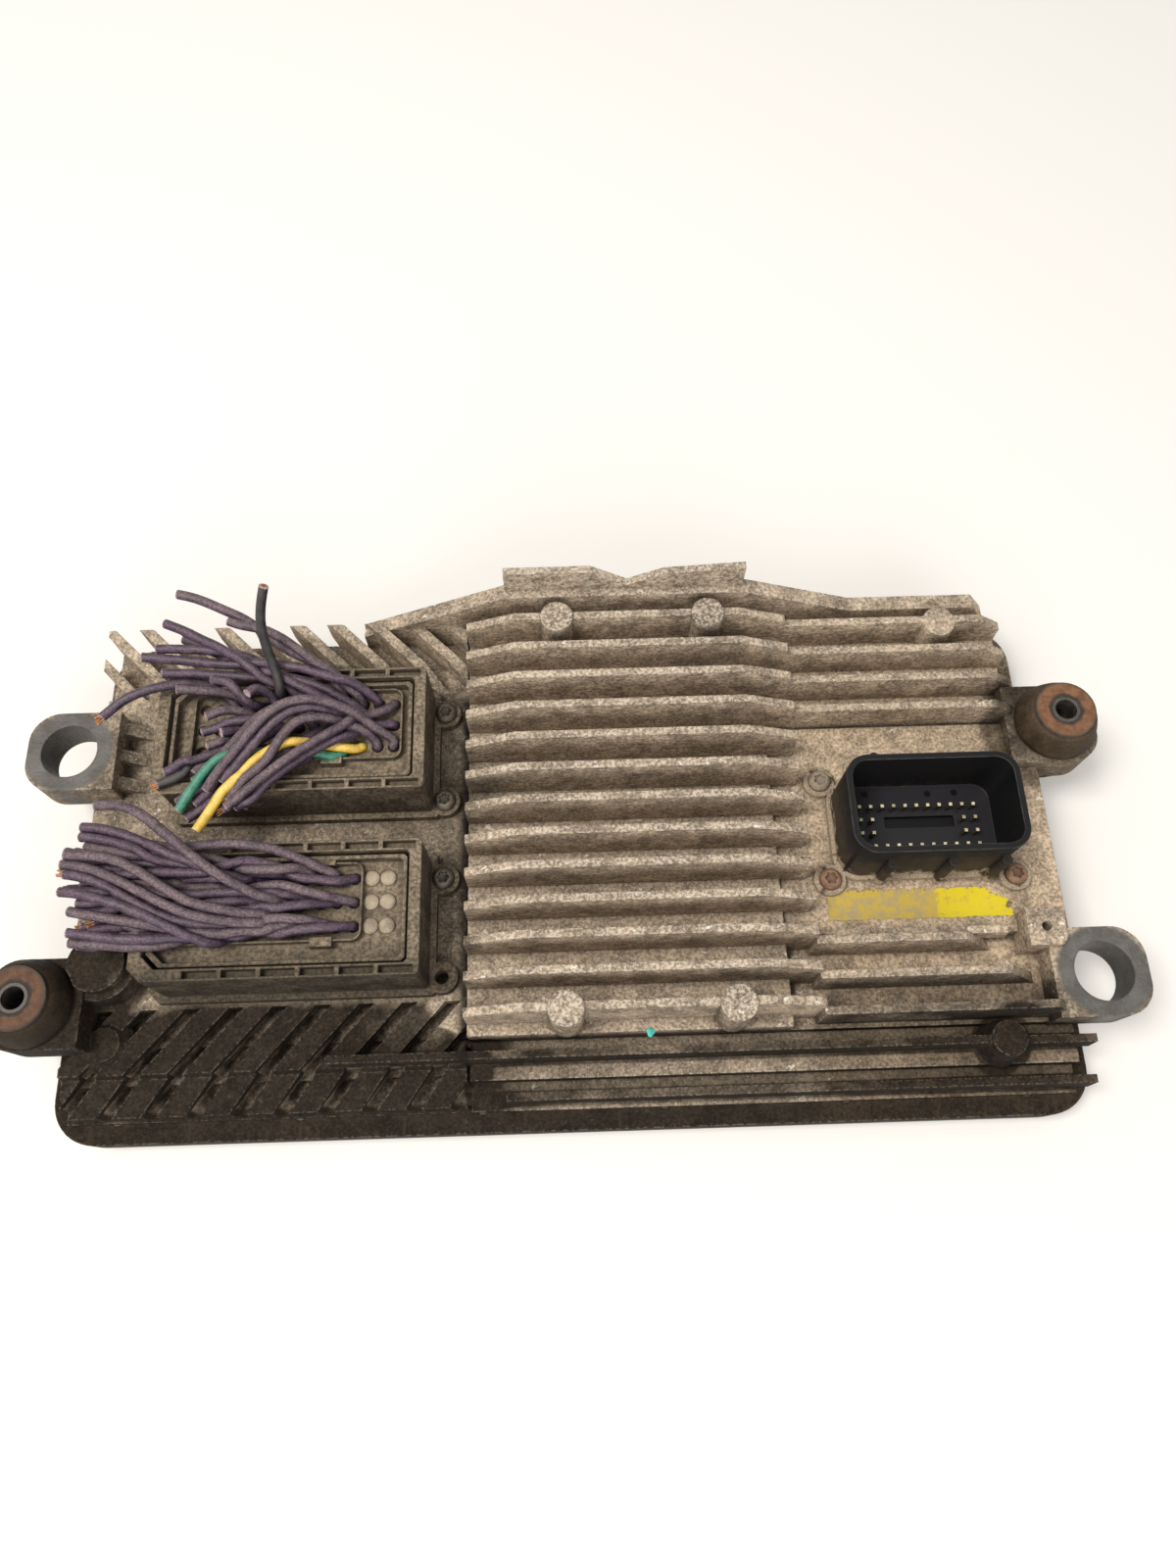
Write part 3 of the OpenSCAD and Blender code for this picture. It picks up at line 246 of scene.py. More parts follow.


# dirty die casting: brown faces lightened as painted light, sandy tops, bright chipped edges with painted
# highlights, darker at the front and the left
castLook = {
    "faceDark": (0.018, 0.013, 0.009), "faceLight": (0.440, 0.350, 0.258), "topDark": (0.022, 0.016, 0.011),
    "topLight": (0.375, 0.302, 0.225), "speck": (0.78, 0.73, 0.64), "pit": (0.045, 0.034, 0.024),
    "worn": (0.60, 0.545, 0.465), "grimeAndShade": (0.040, 0.029, 0.020), "bare": (0.118, 0.114, 0.108),
    "creviceShade": (0.012, 0.009, 0.007), "deckTint": (1.24, 1.20, 1.14),
    "oilySpots": ((0.160, 0.0355, 0.0250, 0.75), (-0.160, -0.046, 0.0250, 0.75),
                  (0.1312, -0.0642, 0.0100, 0.40), (-0.141, -0.035, 0.0150, 0.60),
                  (-0.0012, -0.0548, 0.0062, 0.30), (-0.0012, 0.0712, 0.0062, 0.30),
                  (0.0478, -0.0548, 0.0062, 0.30), (0.0478, 0.0712, 0.0062, 0.30)),
    "bareRings": ((0.160, -0.046, 0.0150), (-0.160, 0.0355, 0.0150)), "ringEdge": 0.002,
    "seams": (-0.148, -0.1176, -0.0838, -0.052, 0.0139, 0.0803, 0.1484), "darkFins": (-0.0642, -0.0756),
    "crevice": -0.0310}
# where on the casting a look starts and where it is full, in metres
castPlaces = {
    "leftSide": (-0.026, -0.036), "leftBack": (0.066, 0.050), "rightSide": (0.070, 0.080),
    "front": (-0.0590, -0.0645), "frontShift": 0.015, "rimTop": (0.0106, 0.0128), "rimBack": (-0.050, 0.0),
    "finHalf": (0.0028, 0.0020), "slatStep": (-0.0662, -0.0658), "slatTops": (0.0195, 0.0240),
    "slitDepth": (0.0010, 0.0030), "slitFloor": (0.0120, 0.0128), "slitRight": (-0.032, -0.034),
    "slitBack": (-0.046, -0.048), "slitFront": (-0.0775, -0.0755), "frontFaceDarkening": (-0.036, -0.056),
    "finTops": (0.0476, 0.0492), "deckTop": (0.0345, 0.0325), "creviceWidth": (0.0050, 0.0015),
    "creviceEnd": (0.0060, 0.0050), "creviceTop": (0.0500, 0.0470), "creviceFoot": (0.0225, 0.0245),
    "creviceBack": (0.058, 0.052), "seamHalf": (0.0007, 0.0002), "seamTop": (0.0108, 0.0100),
    "ringFoot": (0.0215, 0.0225)}


# how light the casting is, from 0 where it is darkest, at the front and the left and at oily spots, to 1
# where it is dusty, and its right side
def castTone(tree, place, spots):
    look, at = castLook, castPlaces
    x, y, z = split(tree, place)
    drift = plus(tree, x, ramp(tree, spots["Blotch"], 0.3, 0.7, -0.010, 0.010))
    left = times(tree, ramp(tree, drift, *at["leftSide"]), ramp(tree, y, *at["leftBack"]))
    right = ramp(tree, x, *at["rightSide"])
    # darker towards the front, more at the left than at the right
    front = ramp(tree, minus(tree, y, times(tree, peak(tree, left, right), at["frontShift"])), *at["front"])
    frontDarkeningShare = plus(tree, ramp(tree, left, 0.0, 1.0, 0.42, 0.68), times(tree, right, 0.22))
    tone = minus(tree, minus(tree, 1.0, times(tree, left, 0.42)), times(tree, front, frontDarkeningShare))
    tone = plus(tree, tone, ramp(tree, spots["Blotch"], 0.3, 0.7, -0.20, 0.20))
    aboveRim = ramp(tree, z, *at["rimTop"])
    tone = times(tree, tone, peak(tree, aboveRim, ramp(tree, y, *at["rimBack"], 0.0, 0.45)))
    for spotX, spotY, radius, amount in look["oilySpots"]:
        away = axisDistance(tree, place, (spotX, spotY))
        tone = minus(tree, tone, ramp(tree, away, radius, radius * 0.8, 0.0, amount))
    for line in look["darkFins"]:
        tone = minus(tree, tone, ramp(tree, apart(tree, y, line), *at["finHalf"], 0.0, 0.42))
    return clamp(tree, tone), right


# slits between the slanted fins at the front left: dust and painted light in their shade
def castSlits(tree, place):
    at = castPlaces
    x, y, z = split(tree, place)
    depth = minus(tree, ramp(tree, y, *at["slatStep"], *at["slatTops"]), z)
    return times(tree, ramp(tree, depth, *at["slitDepth"]), ramp(tree, z, *at["slitFloor"]),
                 ramp(tree, x, *at["slitRight"]), ramp(tree, y, *at["slitBack"]),
                 ramp(tree, y, *at["slitFront"]))


# scratches drawn across the upright faces
def castScratches(tree, place, colour, tone, up):
    slanted = put(tree, "Mapping", {"Vector": place, "Rotation": (0.0, 0.6, 0.0),
                                    "Scale": (300.0, 400.0, 1150.0)}).outputs[0]
    drawn = put(tree, "TexNoise", {"Vector": slanted, "Scale": 1.0, "Detail": 3.0,
                                   "Roughness": 0.7}).outputs["Fac"]
    upright = minus(tree, 1.0, up)
    colour = mixColour(tree, upright, colour, tint(tree, colour, ramp(tree, drawn, 0.35, 0.65, 0.80, 1.20)))
    scratch = times(tree, upright, ramp(tree, drawn, 0.64, 0.72), ramp(tree, tone, 0.1, 1.0, 0.15, 0.6))
    return mixColour(tree, scratch, colour, castLook["speck"])


# white flecks and specks, and dark pits
def castFlecks(tree, place, colour, tone, up, grit):
    warp = put(tree, "TexNoise", {"Vector": place, "Scale": 700.0, "Detail": 2.0}).outputs["Color"]
    bent = put(tree, "VectorMath", {0: place, 1: (0.7, 1.0, 1.0)}, operation="MULTIPLY").outputs[0]
    bent = put(tree, "VectorMath", {0: warp, 1: (0.004, 0.004, 0.004), 2: bent},
               operation="MULTIPLY_ADD").outputs[0]
    cells = put(tree, "TexVoronoi", {"Vector": bent, "Scale": 330.0}).outputs
    chance = split(tree, cells["Color"])["X"]
    fleck = times(tree, ramp(tree, cells["Distance"], 0.24, 0.14), ramp(tree, chance, 0.80, 0.82))
    speck = peak(tree, times(tree, ramp(tree, grit, 0.60, 0.68), 0.75), fleck)
    speck = times(tree, speck, ramp(tree, tone, 0.15, 0.9, 0.03, 0.85), ramp(tree, up, 0.0, 1.0, 0.45, 1.0))
    colour = mixColour(tree, speck, colour, castLook["speck"])
    return mixColour(tree, ramp(tree, grit, 0.39, 0.32, 0.0, 0.6), colour, castLook["pit"])


# painted shade in the crevice beside the fin block, on its left-facing wall and the deck strip beside it, and
# seams along the rim
def castShadeAndSeams(tree, place, colour, spots, facing):
    look, at = castLook, castPlaces
    x, y, z = split(tree, place)
    away = apart(tree, x, look["crevice"])
    beside = ramp(tree, minus(tree, look["crevice"], x), -0.0002, 0.0)
    wavy = plus(tree, ramp(tree, away, *at["creviceWidth"]), ramp(tree, spots["Mottle"], 0.4, 0.7, -0.1, 0.1))
    # painted shade: left-facing walls and the strip beside the crevice are darkened
    creviceShade = times(tree, peak(tree, ramp(tree, facing["X"], -0.4, -0.7), beside), wavy,
                 ramp(tree, z, *at["creviceTop"], 0.0, 0.92), ramp(tree, z, *at["creviceFoot"]),
                 ramp(tree, y, *at["creviceBack"]), ramp(tree, away, *at["creviceEnd"]))
    colour = mixColour(tree, clamp(tree, creviceShade), colour, look["creviceShade"])
    for spot in look["seams"]:
        seam = times(tree, ramp(tree, apart(tree, x, spot), *at["seamHalf"], 0.0, 0.9),
                     ramp(tree, z, *at["seamTop"]))
        colour = mixColour(tree, seam, colour, look["grimeAndShade"])
    return colour


# mask of the two rings that are bare metal
def castRings(tree, place, spots):
    look = castLook
    masks = [ramp(tree, axisDistance(tree, place, (x, y)), radius, radius - look["ringEdge"])
             for x, y, radius in look["bareRings"]]
    return times(tree, peak(tree, *masks), ramp(tree, split(tree, place)["Z"], *castPlaces["ringFoot"]),
                 ramp(tree, spots["Mottle"], 0.34, 0.44, 0.75, 0.97))


def makeCasting(name):
    look, at = castLook, castPlaces
    mat, tree, shader = newMaterial(name)
    place = objectPlace(tree)
    where = split(tree, place)
    spots = useGroup(tree, speckle, {"Scale": 150.0})
    grit = put(tree, "TexNoise", {"Vector": place, "Scale": 1500.0, "Detail": 2.0,
                                  "Roughness": 0.6}).outputs["Fac"]
    facing = split(tree, put(tree, "NewGeometry").outputs["True Normal"])
    up = ramp(tree, facing["Z"], 0.3, 0.8)
    tone, right = castTone(tree, place, spots)
    slit = castSlits(tree, place)
    # the slits are lightened: dust and painted light
    tone = peak(tree, tone, times(tree, slit, ramp(tree, spots["Mottle"], 0.35, 0.60, 0.10, 0.40)))
    # upright faces darker towards the front
    gradientDarkening = times(tree, ramp(tree, where["Y"], *at["frontFaceDarkening"], 0.0, 0.35), minus(tree, 1.0, slit))
    # upright faces get a lighter colour range than the tops: painted light making up for the shade the faces
    # stand in
    face = mixColour(tree, clamp(tree, minus(tree, tone, gradientDarkening)), look["faceDark"], look["faceLight"])
    colour = mixColour(tree, up, face, mixColour(tree, tone, look["topDark"], look["topLight"]))
    colour = tint(tree, colour, ramp(tree, spots["Mottle"], 0.34, 0.66, 0.68, 1.26))
    colour = tint(tree, colour, ramp(tree, spots["Grain"], 0.36, 0.64, 0.66, 1.34))
    ragged = plus(tree, where["Z"], ramp(tree, spots["Mottle"], 0.3, 0.7, -0.0035, 0.0025))
    chipped = times(tree, ramp(tree, ragged, *at["finTops"]),
                    ramp(tree, spots["Grain"], 0.46, 0.62, 0.0, 0.55))
    colour = mixColour(tree, chipped, colour, look["worn"])
    colour = castScratches(tree, place, colour, tone, up)
    deck = times(tree, right, ramp(tree, where["Z"], *at["deckTop"]), up)
    colour = mixColour(tree, deck, colour, tint(tree, colour, look["deckTint"]))
    colour = castFlecks(tree, place, colour, tone, up, grit)
    edges = useGroup(tree, edgeMasks, {"Radius": 0.0009, "Reach": 0.005})
    # hollows found by occlusion are darkened: grime and painted shade, less in the slits
    grimeAndShadeMask = times(tree, edges["Cavity"], ramp(tree, spots["Mottle"], 0.35, 0.6, 0.15, 0.75),
                 ramp(tree, slit, 0.0, 1.0, 1.0, 0.15))
    colour = mixColour(tree, grimeAndShadeMask, colour, look["grimeAndShade"])
    # bright outer edges: wear and painted highlight
    chips = times(tree, ramp(tree, spots["Grain"], 0.45, 0.58, 0.05, 1.0),
                  ramp(tree, tone, 0.0, 1.0, 0.25, 0.95))
    colour = mixColour(tree, times(tree, edges["Edge"], chips), colour, look["worn"])
    colour = castShadeAndSeams(tree, place, colour, spots, facing)
    bare = castRings(tree, place, spots)
    metal = tint(tree, look["bare"], ramp(tree, spots["Mottle"], 0.35, 0.65, 0.82, 1.2))
    height = plus(tree, spots["Mottle"], times(tree, spots["Grain"], 0.55))
    height = plus(tree, height, times(tree, grit, 0.30))
    bump = put(tree, "Bump", {"Strength": 0.75, "Distance": 0.0009, "Height": height,
                              "Normal": edges["Rounded"]})
    fill(tree, shader, {"Base Color": mixColour(tree, bare, colour, metal), "Normal": bump.outputs[0],
                        "Roughness": ramp(tree, bare, 0.0, 1.0, 0.82, 0.50),
                        "Metallic": times(tree, bare, 0.25), "Specular IOR Level": 0.15})
    return mat


# black header: bare inside, filmed with brown outside, buried in deck dust at its foot
headerLook = {"plastic": (0.0060, 0.0060, 0.0068), "film": (0.060, 0.044, 0.028),
              "dust": (0.360, 0.290, 0.210), "worn": (0.115, 0.112, 0.108), "middle": (0.1108, 0.0020),
              "half": (0.0250, 0.0142), "wall": 0.0006, "floor": (0.024, 0.023, 0.027),
              "marks": ((0.0957, 0.0132), (0.1158, 0.0128), (0.1244, 0.0130)),
              "markEdge": (0.0010, 0.0012), "floorTop": (0.0336, 0.0332), "floorFoot": (0.0322, 0.0328),
              "filmTop": (0.0555, 0.0350), "dustTop": (0.0352, 0.0326), "wornFoot": (0.036, 0.045),
              "mattTop": (0.0555, 0.0545)}


def makeHeaderPlastic(name):
    look = headerLook
    mat, tree, shader = newMaterial(name)
    place = objectPlace(tree)
    where = split(tree, place)
    z = where["Z"]
    spots = useGroup(tree, speckle, {"Scale": 260.0})
    walls = [ramp(tree, apart(tree, where[axis], middle), half - look["wall"], half)
             for axis, middle, half in zip("XY", look["middle"], look["half"])]
    outside = peak(tree, *walls)
    floor = times(tree, ramp(tree, z, *look["floorTop"]), minus(tree, 1.0, outside))
    ground = times(tree, floor, ramp(tree, z, *look["floorFoot"]))
    for mark in look["marks"]:
        ground = times(tree, ground, ramp(tree, axisDistance(tree, place, mark), *look["markEdge"]))
    wavy = plus(tree, z, ramp(tree, spots["Mottle"], 0.3, 0.7, -0.003, 0.003))
    film = times(tree, ramp(tree, wavy, *look["filmTop"], 0.0, 0.95),
                 ramp(tree, spots["Blotch"], 0.35, 0.6, 0.5, 1.0))
    colour = mixColour(tree, times(tree, film, outside), look["plastic"], look["film"])
    colour = mixColour(tree, ground, colour, look["floor"])
    grainy = tint(tree, look["dust"], ramp(tree, spots["Grain"], 0.35, 0.65, 0.65, 1.2))
    colour = mixColour(tree, times(tree, ramp(tree, wavy, *look["dustTop"]), outside), colour, grainy)
    edges = useGroup(tree, edgeMasks, {"Radius": 0.0005, "Reach": 0.006})
    worn = times(tree, edges["Edge"], ramp(tree, spots["Mottle"], 0.35, 0.6, 0.2, 0.9),
                 ramp(tree, z, *look["wornFoot"]))
    bump = put(tree, "Bump", {"Strength": 0.2, "Distance": 0.0005, "Height": spots["Mottle"],
                              "Normal": edges["Rounded"]})
    matt = times(tree, outside, ramp(tree, z, *look["mattTop"]))
    rough = times(tree, ramp(tree, matt, 0.0, 1.0, 0.55, 0.85), ramp(tree, floor, 0.0, 1.0, 1.0, 0.6))
    fill(tree, shader, {"Base Color": mixColour(tree, worn, colour, look["worn"]), "Roughness": rough,
                        "Specular IOR Level": 0.28, "Normal": bump.outputs[0]})
    return mat


# washers: rust in a ring, dark towards the bolt, dull at the rim, darker at the left
washerLook = {"dark": (0.045, 0.031, 0.022), "rust": (0.215, 0.098, 0.045), "rim": (0.095, 0.068, 0.050),
              "spots": ((0.160, 0.0355), (-0.160, -0.046)), "rustFrom": (0.0050, 0.0060),
              "rimFrom": (0.0086, 0.0093), "sides": (-0.1, 0.1), "sideTint": (0.42, 0.78)}


def makeWasherSteel(name):
    look = washerLook
    mat, tree, shader = newMaterial(name)
    place = objectPlace(tree)
    mottle = useGroup(tree, speckle, {"Scale": 420.0})["Mottle"]
    away = sums(tree, "MINIMUM", *[axisDistance(tree, place, spot) for spot in look["spots"]])
    away = plus(tree, away, ramp(tree, mottle, 0.3, 0.7, -0.0002, 0.0002))
    colour = mixColour(tree, ramp(tree, away, *look["rustFrom"]), look["dark"], look["rust"])
    colour = mixColour(tree, ramp(tree, away, *look["rimFrom"]), colour, look["rim"])
    colour = tint(tree, colour, ramp(tree, mottle, 0.3, 0.7, 0.65, 1.3))
    colour = tint(tree, colour, ramp(tree, split(tree, place)["X"], *look["sides"], *look["sideTint"]))
    bump = put(tree, "Bump", {"Strength": 0.5, "Distance": 0.0005, "Height": mottle})
    fill(tree, shader, {"Base Color": colour, "Normal": bump.outputs[0], "Roughness": 0.75})
    return mat


# plain finishes: colours and amounts of dust, of grime and painted shade in hollows, and of wear, size of the
# mottling, roughness and bump
finishLooks = {
    "coverAluminium": {"base": (0.028, 0.023, 0.018), "light": (0.052, 0.043, 0.034),
        "dust": (0.2, 0.165, 0.125), "dustAmount": 0.5, "grimeAndShade": (0.015, 0.012, 0.01), "grimeAndShadeAmount": 0.6,
        "worn": (0.3, 0.27, 0.23), "wearAmount": 0.5, "scale": 150.0, "rough": (0.55, 0.85),
        "metal": 0.15, "bump": 0.4, "edges": 0.0007, "reach": 0.01},
    "sealRubber": {"base": (0.012, 0.012, 0.012), "light": (0.03, 0.028, 0.026),
        "dust": (0.12, 0.1, 0.08), "dustAmount": 0.4, "scale": 220.0, "rough": (0.6, 0.85), "bump": 0.2},
    "zincSteel": {"base": (0.11, 0.096, 0.08), "light": (0.2, 0.175, 0.148), "dust": (0.27, 0.22, 0.165),
        "dustAmount": 0.75, "grimeAndShade": (0.03, 0.022, 0.016), "grimeAndShadeAmount": 0.8, "worn": (0.5, 0.48, 0.45),
        "wearAmount": 0.5, "scale": 500.0, "rough": (0.4, 0.7), "metal": 0.6, "bump": 0.3,
        "edges": 0.0003, "reach": 0.003},
    "rustySteel": {"base": (0.13, 0.06, 0.034), "light": (0.23, 0.125, 0.078), "dust": (0.33, 0.22, 0.15),
        "dustAmount": 0.6, "grimeAndShade": (0.04, 0.018, 0.01), "grimeAndShadeAmount": 0.7, "worn": (0.42, 0.3, 0.22),
        "wearAmount": 0.35, "scale": 420.0, "rough": (0.65, 0.9), "metal": 0.1, "bump": 0.5,
        "edges": 0.0003, "reach": 0.003},
    "sleeveSteel": {"base": (0.06, 0.054, 0.048), "light": (0.115, 0.104, 0.094),
        "dust": (0.13, 0.11, 0.09), "dustAmount": 0.4, "grimeAndShade": (0.01, 0.008, 0.006), "grimeAndShadeAmount": 0.9,
        "worn": (0.5, 0.48, 0.45), "wearAmount": 0.4, "scale": 400.0, "rough": (0.45, 0.75), "metal": 0.5,
        "bump": 0.3, "edges": 0.0003, "reach": 0.006},
    "boardLaminate": {"base": (0.01, 0.09, 0.03), "light": (0.018, 0.13, 0.045),
        "dust": (0.1, 0.12, 0.08), "scale": 300.0, "rough": (0.25, 0.45)},
    "chipResin": {"base": (0.015, 0.015, 0.016), "light": (0.03, 0.03, 0.031), "scale": 600.0,
        "rough": (0.45, 0.65), "bump": 0.2},
    "canMetal": {"base": (0.5, 0.51, 0.53), "light": (0.65, 0.66, 0.68), "dust": (0.4, 0.4, 0.4),
        "scale": 500.0, "rough": (0.25, 0.4), "metal": 1.0},
    "capacitorSleeve": {"base": (0.018, 0.022, 0.05), "light": (0.03, 0.036, 0.075), "scale": 300.0,
        "rough": (0.25, 0.4)},
    "ferrite": {"base": (0.03, 0.029, 0.028), "light": (0.055, 0.052, 0.05), "scale": 700.0,
        "rough": (0.6, 0.8), "bump": 0.3},
    "copper": {"base": (0.42, 0.17, 0.075), "light": (0.6, 0.28, 0.14), "dust": (0.3, 0.2, 0.15),
        "dustAmount": 0.15, "scale": 900.0, "rough": (0.3, 0.55), "metal": 0.9, "bump": 0.3},
    "socketPlastic": {"base": (0.058, 0.045, 0.032), "light": (0.135, 0.106, 0.076),
        "dust": (0.23, 0.183, 0.129), "dustAmount": 0.85, "grimeAndShade": (0.105, 0.082, 0.058),
        "grimeAndShadeAmount": 0.7, "worn": (0.026, 0.023, 0.021), "wearAmount": 0.95, "scale": 150.0,
        "rough": (0.6, 0.9), "bump": 0.8, "edges": 0.0006, "reach": 0.004, "specular": 0.2, "grain": 0.45,
        "gradientDarkening": ("Y", -0.03, -0.046, 0.42)},
    "plugRubber": {"base": (0.17, 0.135, 0.098), "light": (0.3, 0.245, 0.18), "dust": (0.4, 0.33, 0.245),
        "dustAmount": 0.8, "grimeAndShade": (0.03, 0.023, 0.016), "grimeAndShadeAmount": 0.6, "worn": (0.42, 0.36, 0.28),
        "wearAmount": 0.5, "scale": 420.0, "rough": (0.6, 0.85), "bump": 0.4, "edges": 0.0004,
        "reach": 0.004},
    # gold pins with dark sides as painted shade and tops made bright gold through the dust colour as painted
    # glint
    "pinGoldShadeAndGlint": {"base": (0.05, 0.038, 0.018), "light": (0.09, 0.07, 0.035), "dust": (0.95, 0.86, 0.58),
        "dustAmount": 1.0, "scale": 900.0, "rough": (0.3, 0.5), "metal": 0.1},
    "dustySteel": {"base": (0.19, 0.155, 0.116), "light": (0.27, 0.222, 0.168),
        "dust": (0.32, 0.26, 0.19), "dustAmount": 0.9, "grimeAndShade": (0.085, 0.066, 0.048), "grimeAndShadeAmount": 0.5,
        "worn": (0.34, 0.3, 0.25), "wearAmount": 0.4, "scale": 500.0, "rough": (0.6, 0.9), "bump": 0.5,
        "grain": 0.3, "edges": 0.0003, "reach": 0.003},
    "contactGold": {"base": (0.55, 0.38, 0.12), "light": (0.75, 0.55, 0.22), "dust": (0.4, 0.3, 0.2),
        "scale": 900.0, "rough": (0.2, 0.4), "metal": 1.0},
    "isolatorRubber": {"base": (0.028, 0.018, 0.01), "light": (0.058, 0.039, 0.023),
        "dust": (0.088, 0.061, 0.037), "gradientDarkening": ("X", 0.1, -0.1, 0.45), "specular": 0.2, "dustAmount": 0.6,
        "grimeAndShade": (0.012, 0.009, 0.007), "grimeAndShadeAmount": 0.6, "worn": (0.11, 0.088, 0.064),
        "wearAmount": 0.3, "scale": 200.0, "rough": (0.6, 0.85), "bump": 0.5, "edges": 0.0006,
        "reach": 0.008},
    "wireViolet": {"base": (0.024, 0.013, 0.031), "light": (0.066, 0.036, 0.076),
        "dust": (0.16, 0.112, 0.122), "dustAmount": 0.42, "scale": 300.0, "grain": 0.45,
        "rough": (0.4, 0.7), "bump": 0.3},
    "wireDusty": {"base": (0.03, 0.017, 0.034), "light": (0.082, 0.053, 0.078),
        "dust": (0.18, 0.134, 0.136), "dustAmount": 0.6, "scale": 280.0, "grain": 0.45,
        "rough": (0.5, 0.8), "bump": 0.35},
    "cutInsulation": {"base": (0.33, 0.24, 0.26), "light": (0.56, 0.45, 0.46), "dust": (0.3, 0.24, 0.22),
        "dustAmount": 0.3, "scale": 900.0, "rough": (0.5, 0.7), "bump": 0.3},
    "wireGreen": {"base": (0.004, 0.15, 0.09), "light": (0.02, 0.24, 0.16), "dust": (0.25, 0.3, 0.24),
        "dustAmount": 0.25, "scale": 330.0, "rough": (0.35, 0.6), "bump": 0.2},
    "wireYellow": {"base": (0.62, 0.38, 0.03), "light": (0.82, 0.56, 0.08), "dust": (0.7, 0.58, 0.32),
        "dustAmount": 0.3, "scale": 330.0, "rough": (0.35, 0.6), "bump": 0.2},
    "wireDark": {"base": (0.016, 0.014, 0.018), "light": (0.035, 0.032, 0.038), "dust": (0.12, 0.1, 0.09),
        "dustAmount": 0.4, "scale": 330.0, "rough": (0.4, 0.7), "bump": 0.2},
}
finishes = {name: makeFinish(name, look) for name, look in finishLooks.items()}
finishes["castAluminium"] = makeCasting("castAluminium")
finishes["headerPlastic"] = makeHeaderPlastic("headerPlastic")
finishes["washerSteel"] = makeWasherSteel("washerSteel")
print("finishes made:", len(finishes))


# harness wires, in mm: they leave the plugs upwards, bend over and end where they were cut
wireKit = {"diameter": 3.0, "points": 36, "rounds": 90, "spacing": 0.97, "columns": 13, "firstX": -113.3,
           "pitch": 5.0, "rowPitch": 7.3, "upperY": 36.6, "lowerY": -20.8, "exitZ": 43.4, "straight": 2.2,
           "declared": 40, "push": 0.35, "mostShift": 0.8, "smooth": 0.22, "memory": 0.03, "fixed": 3}
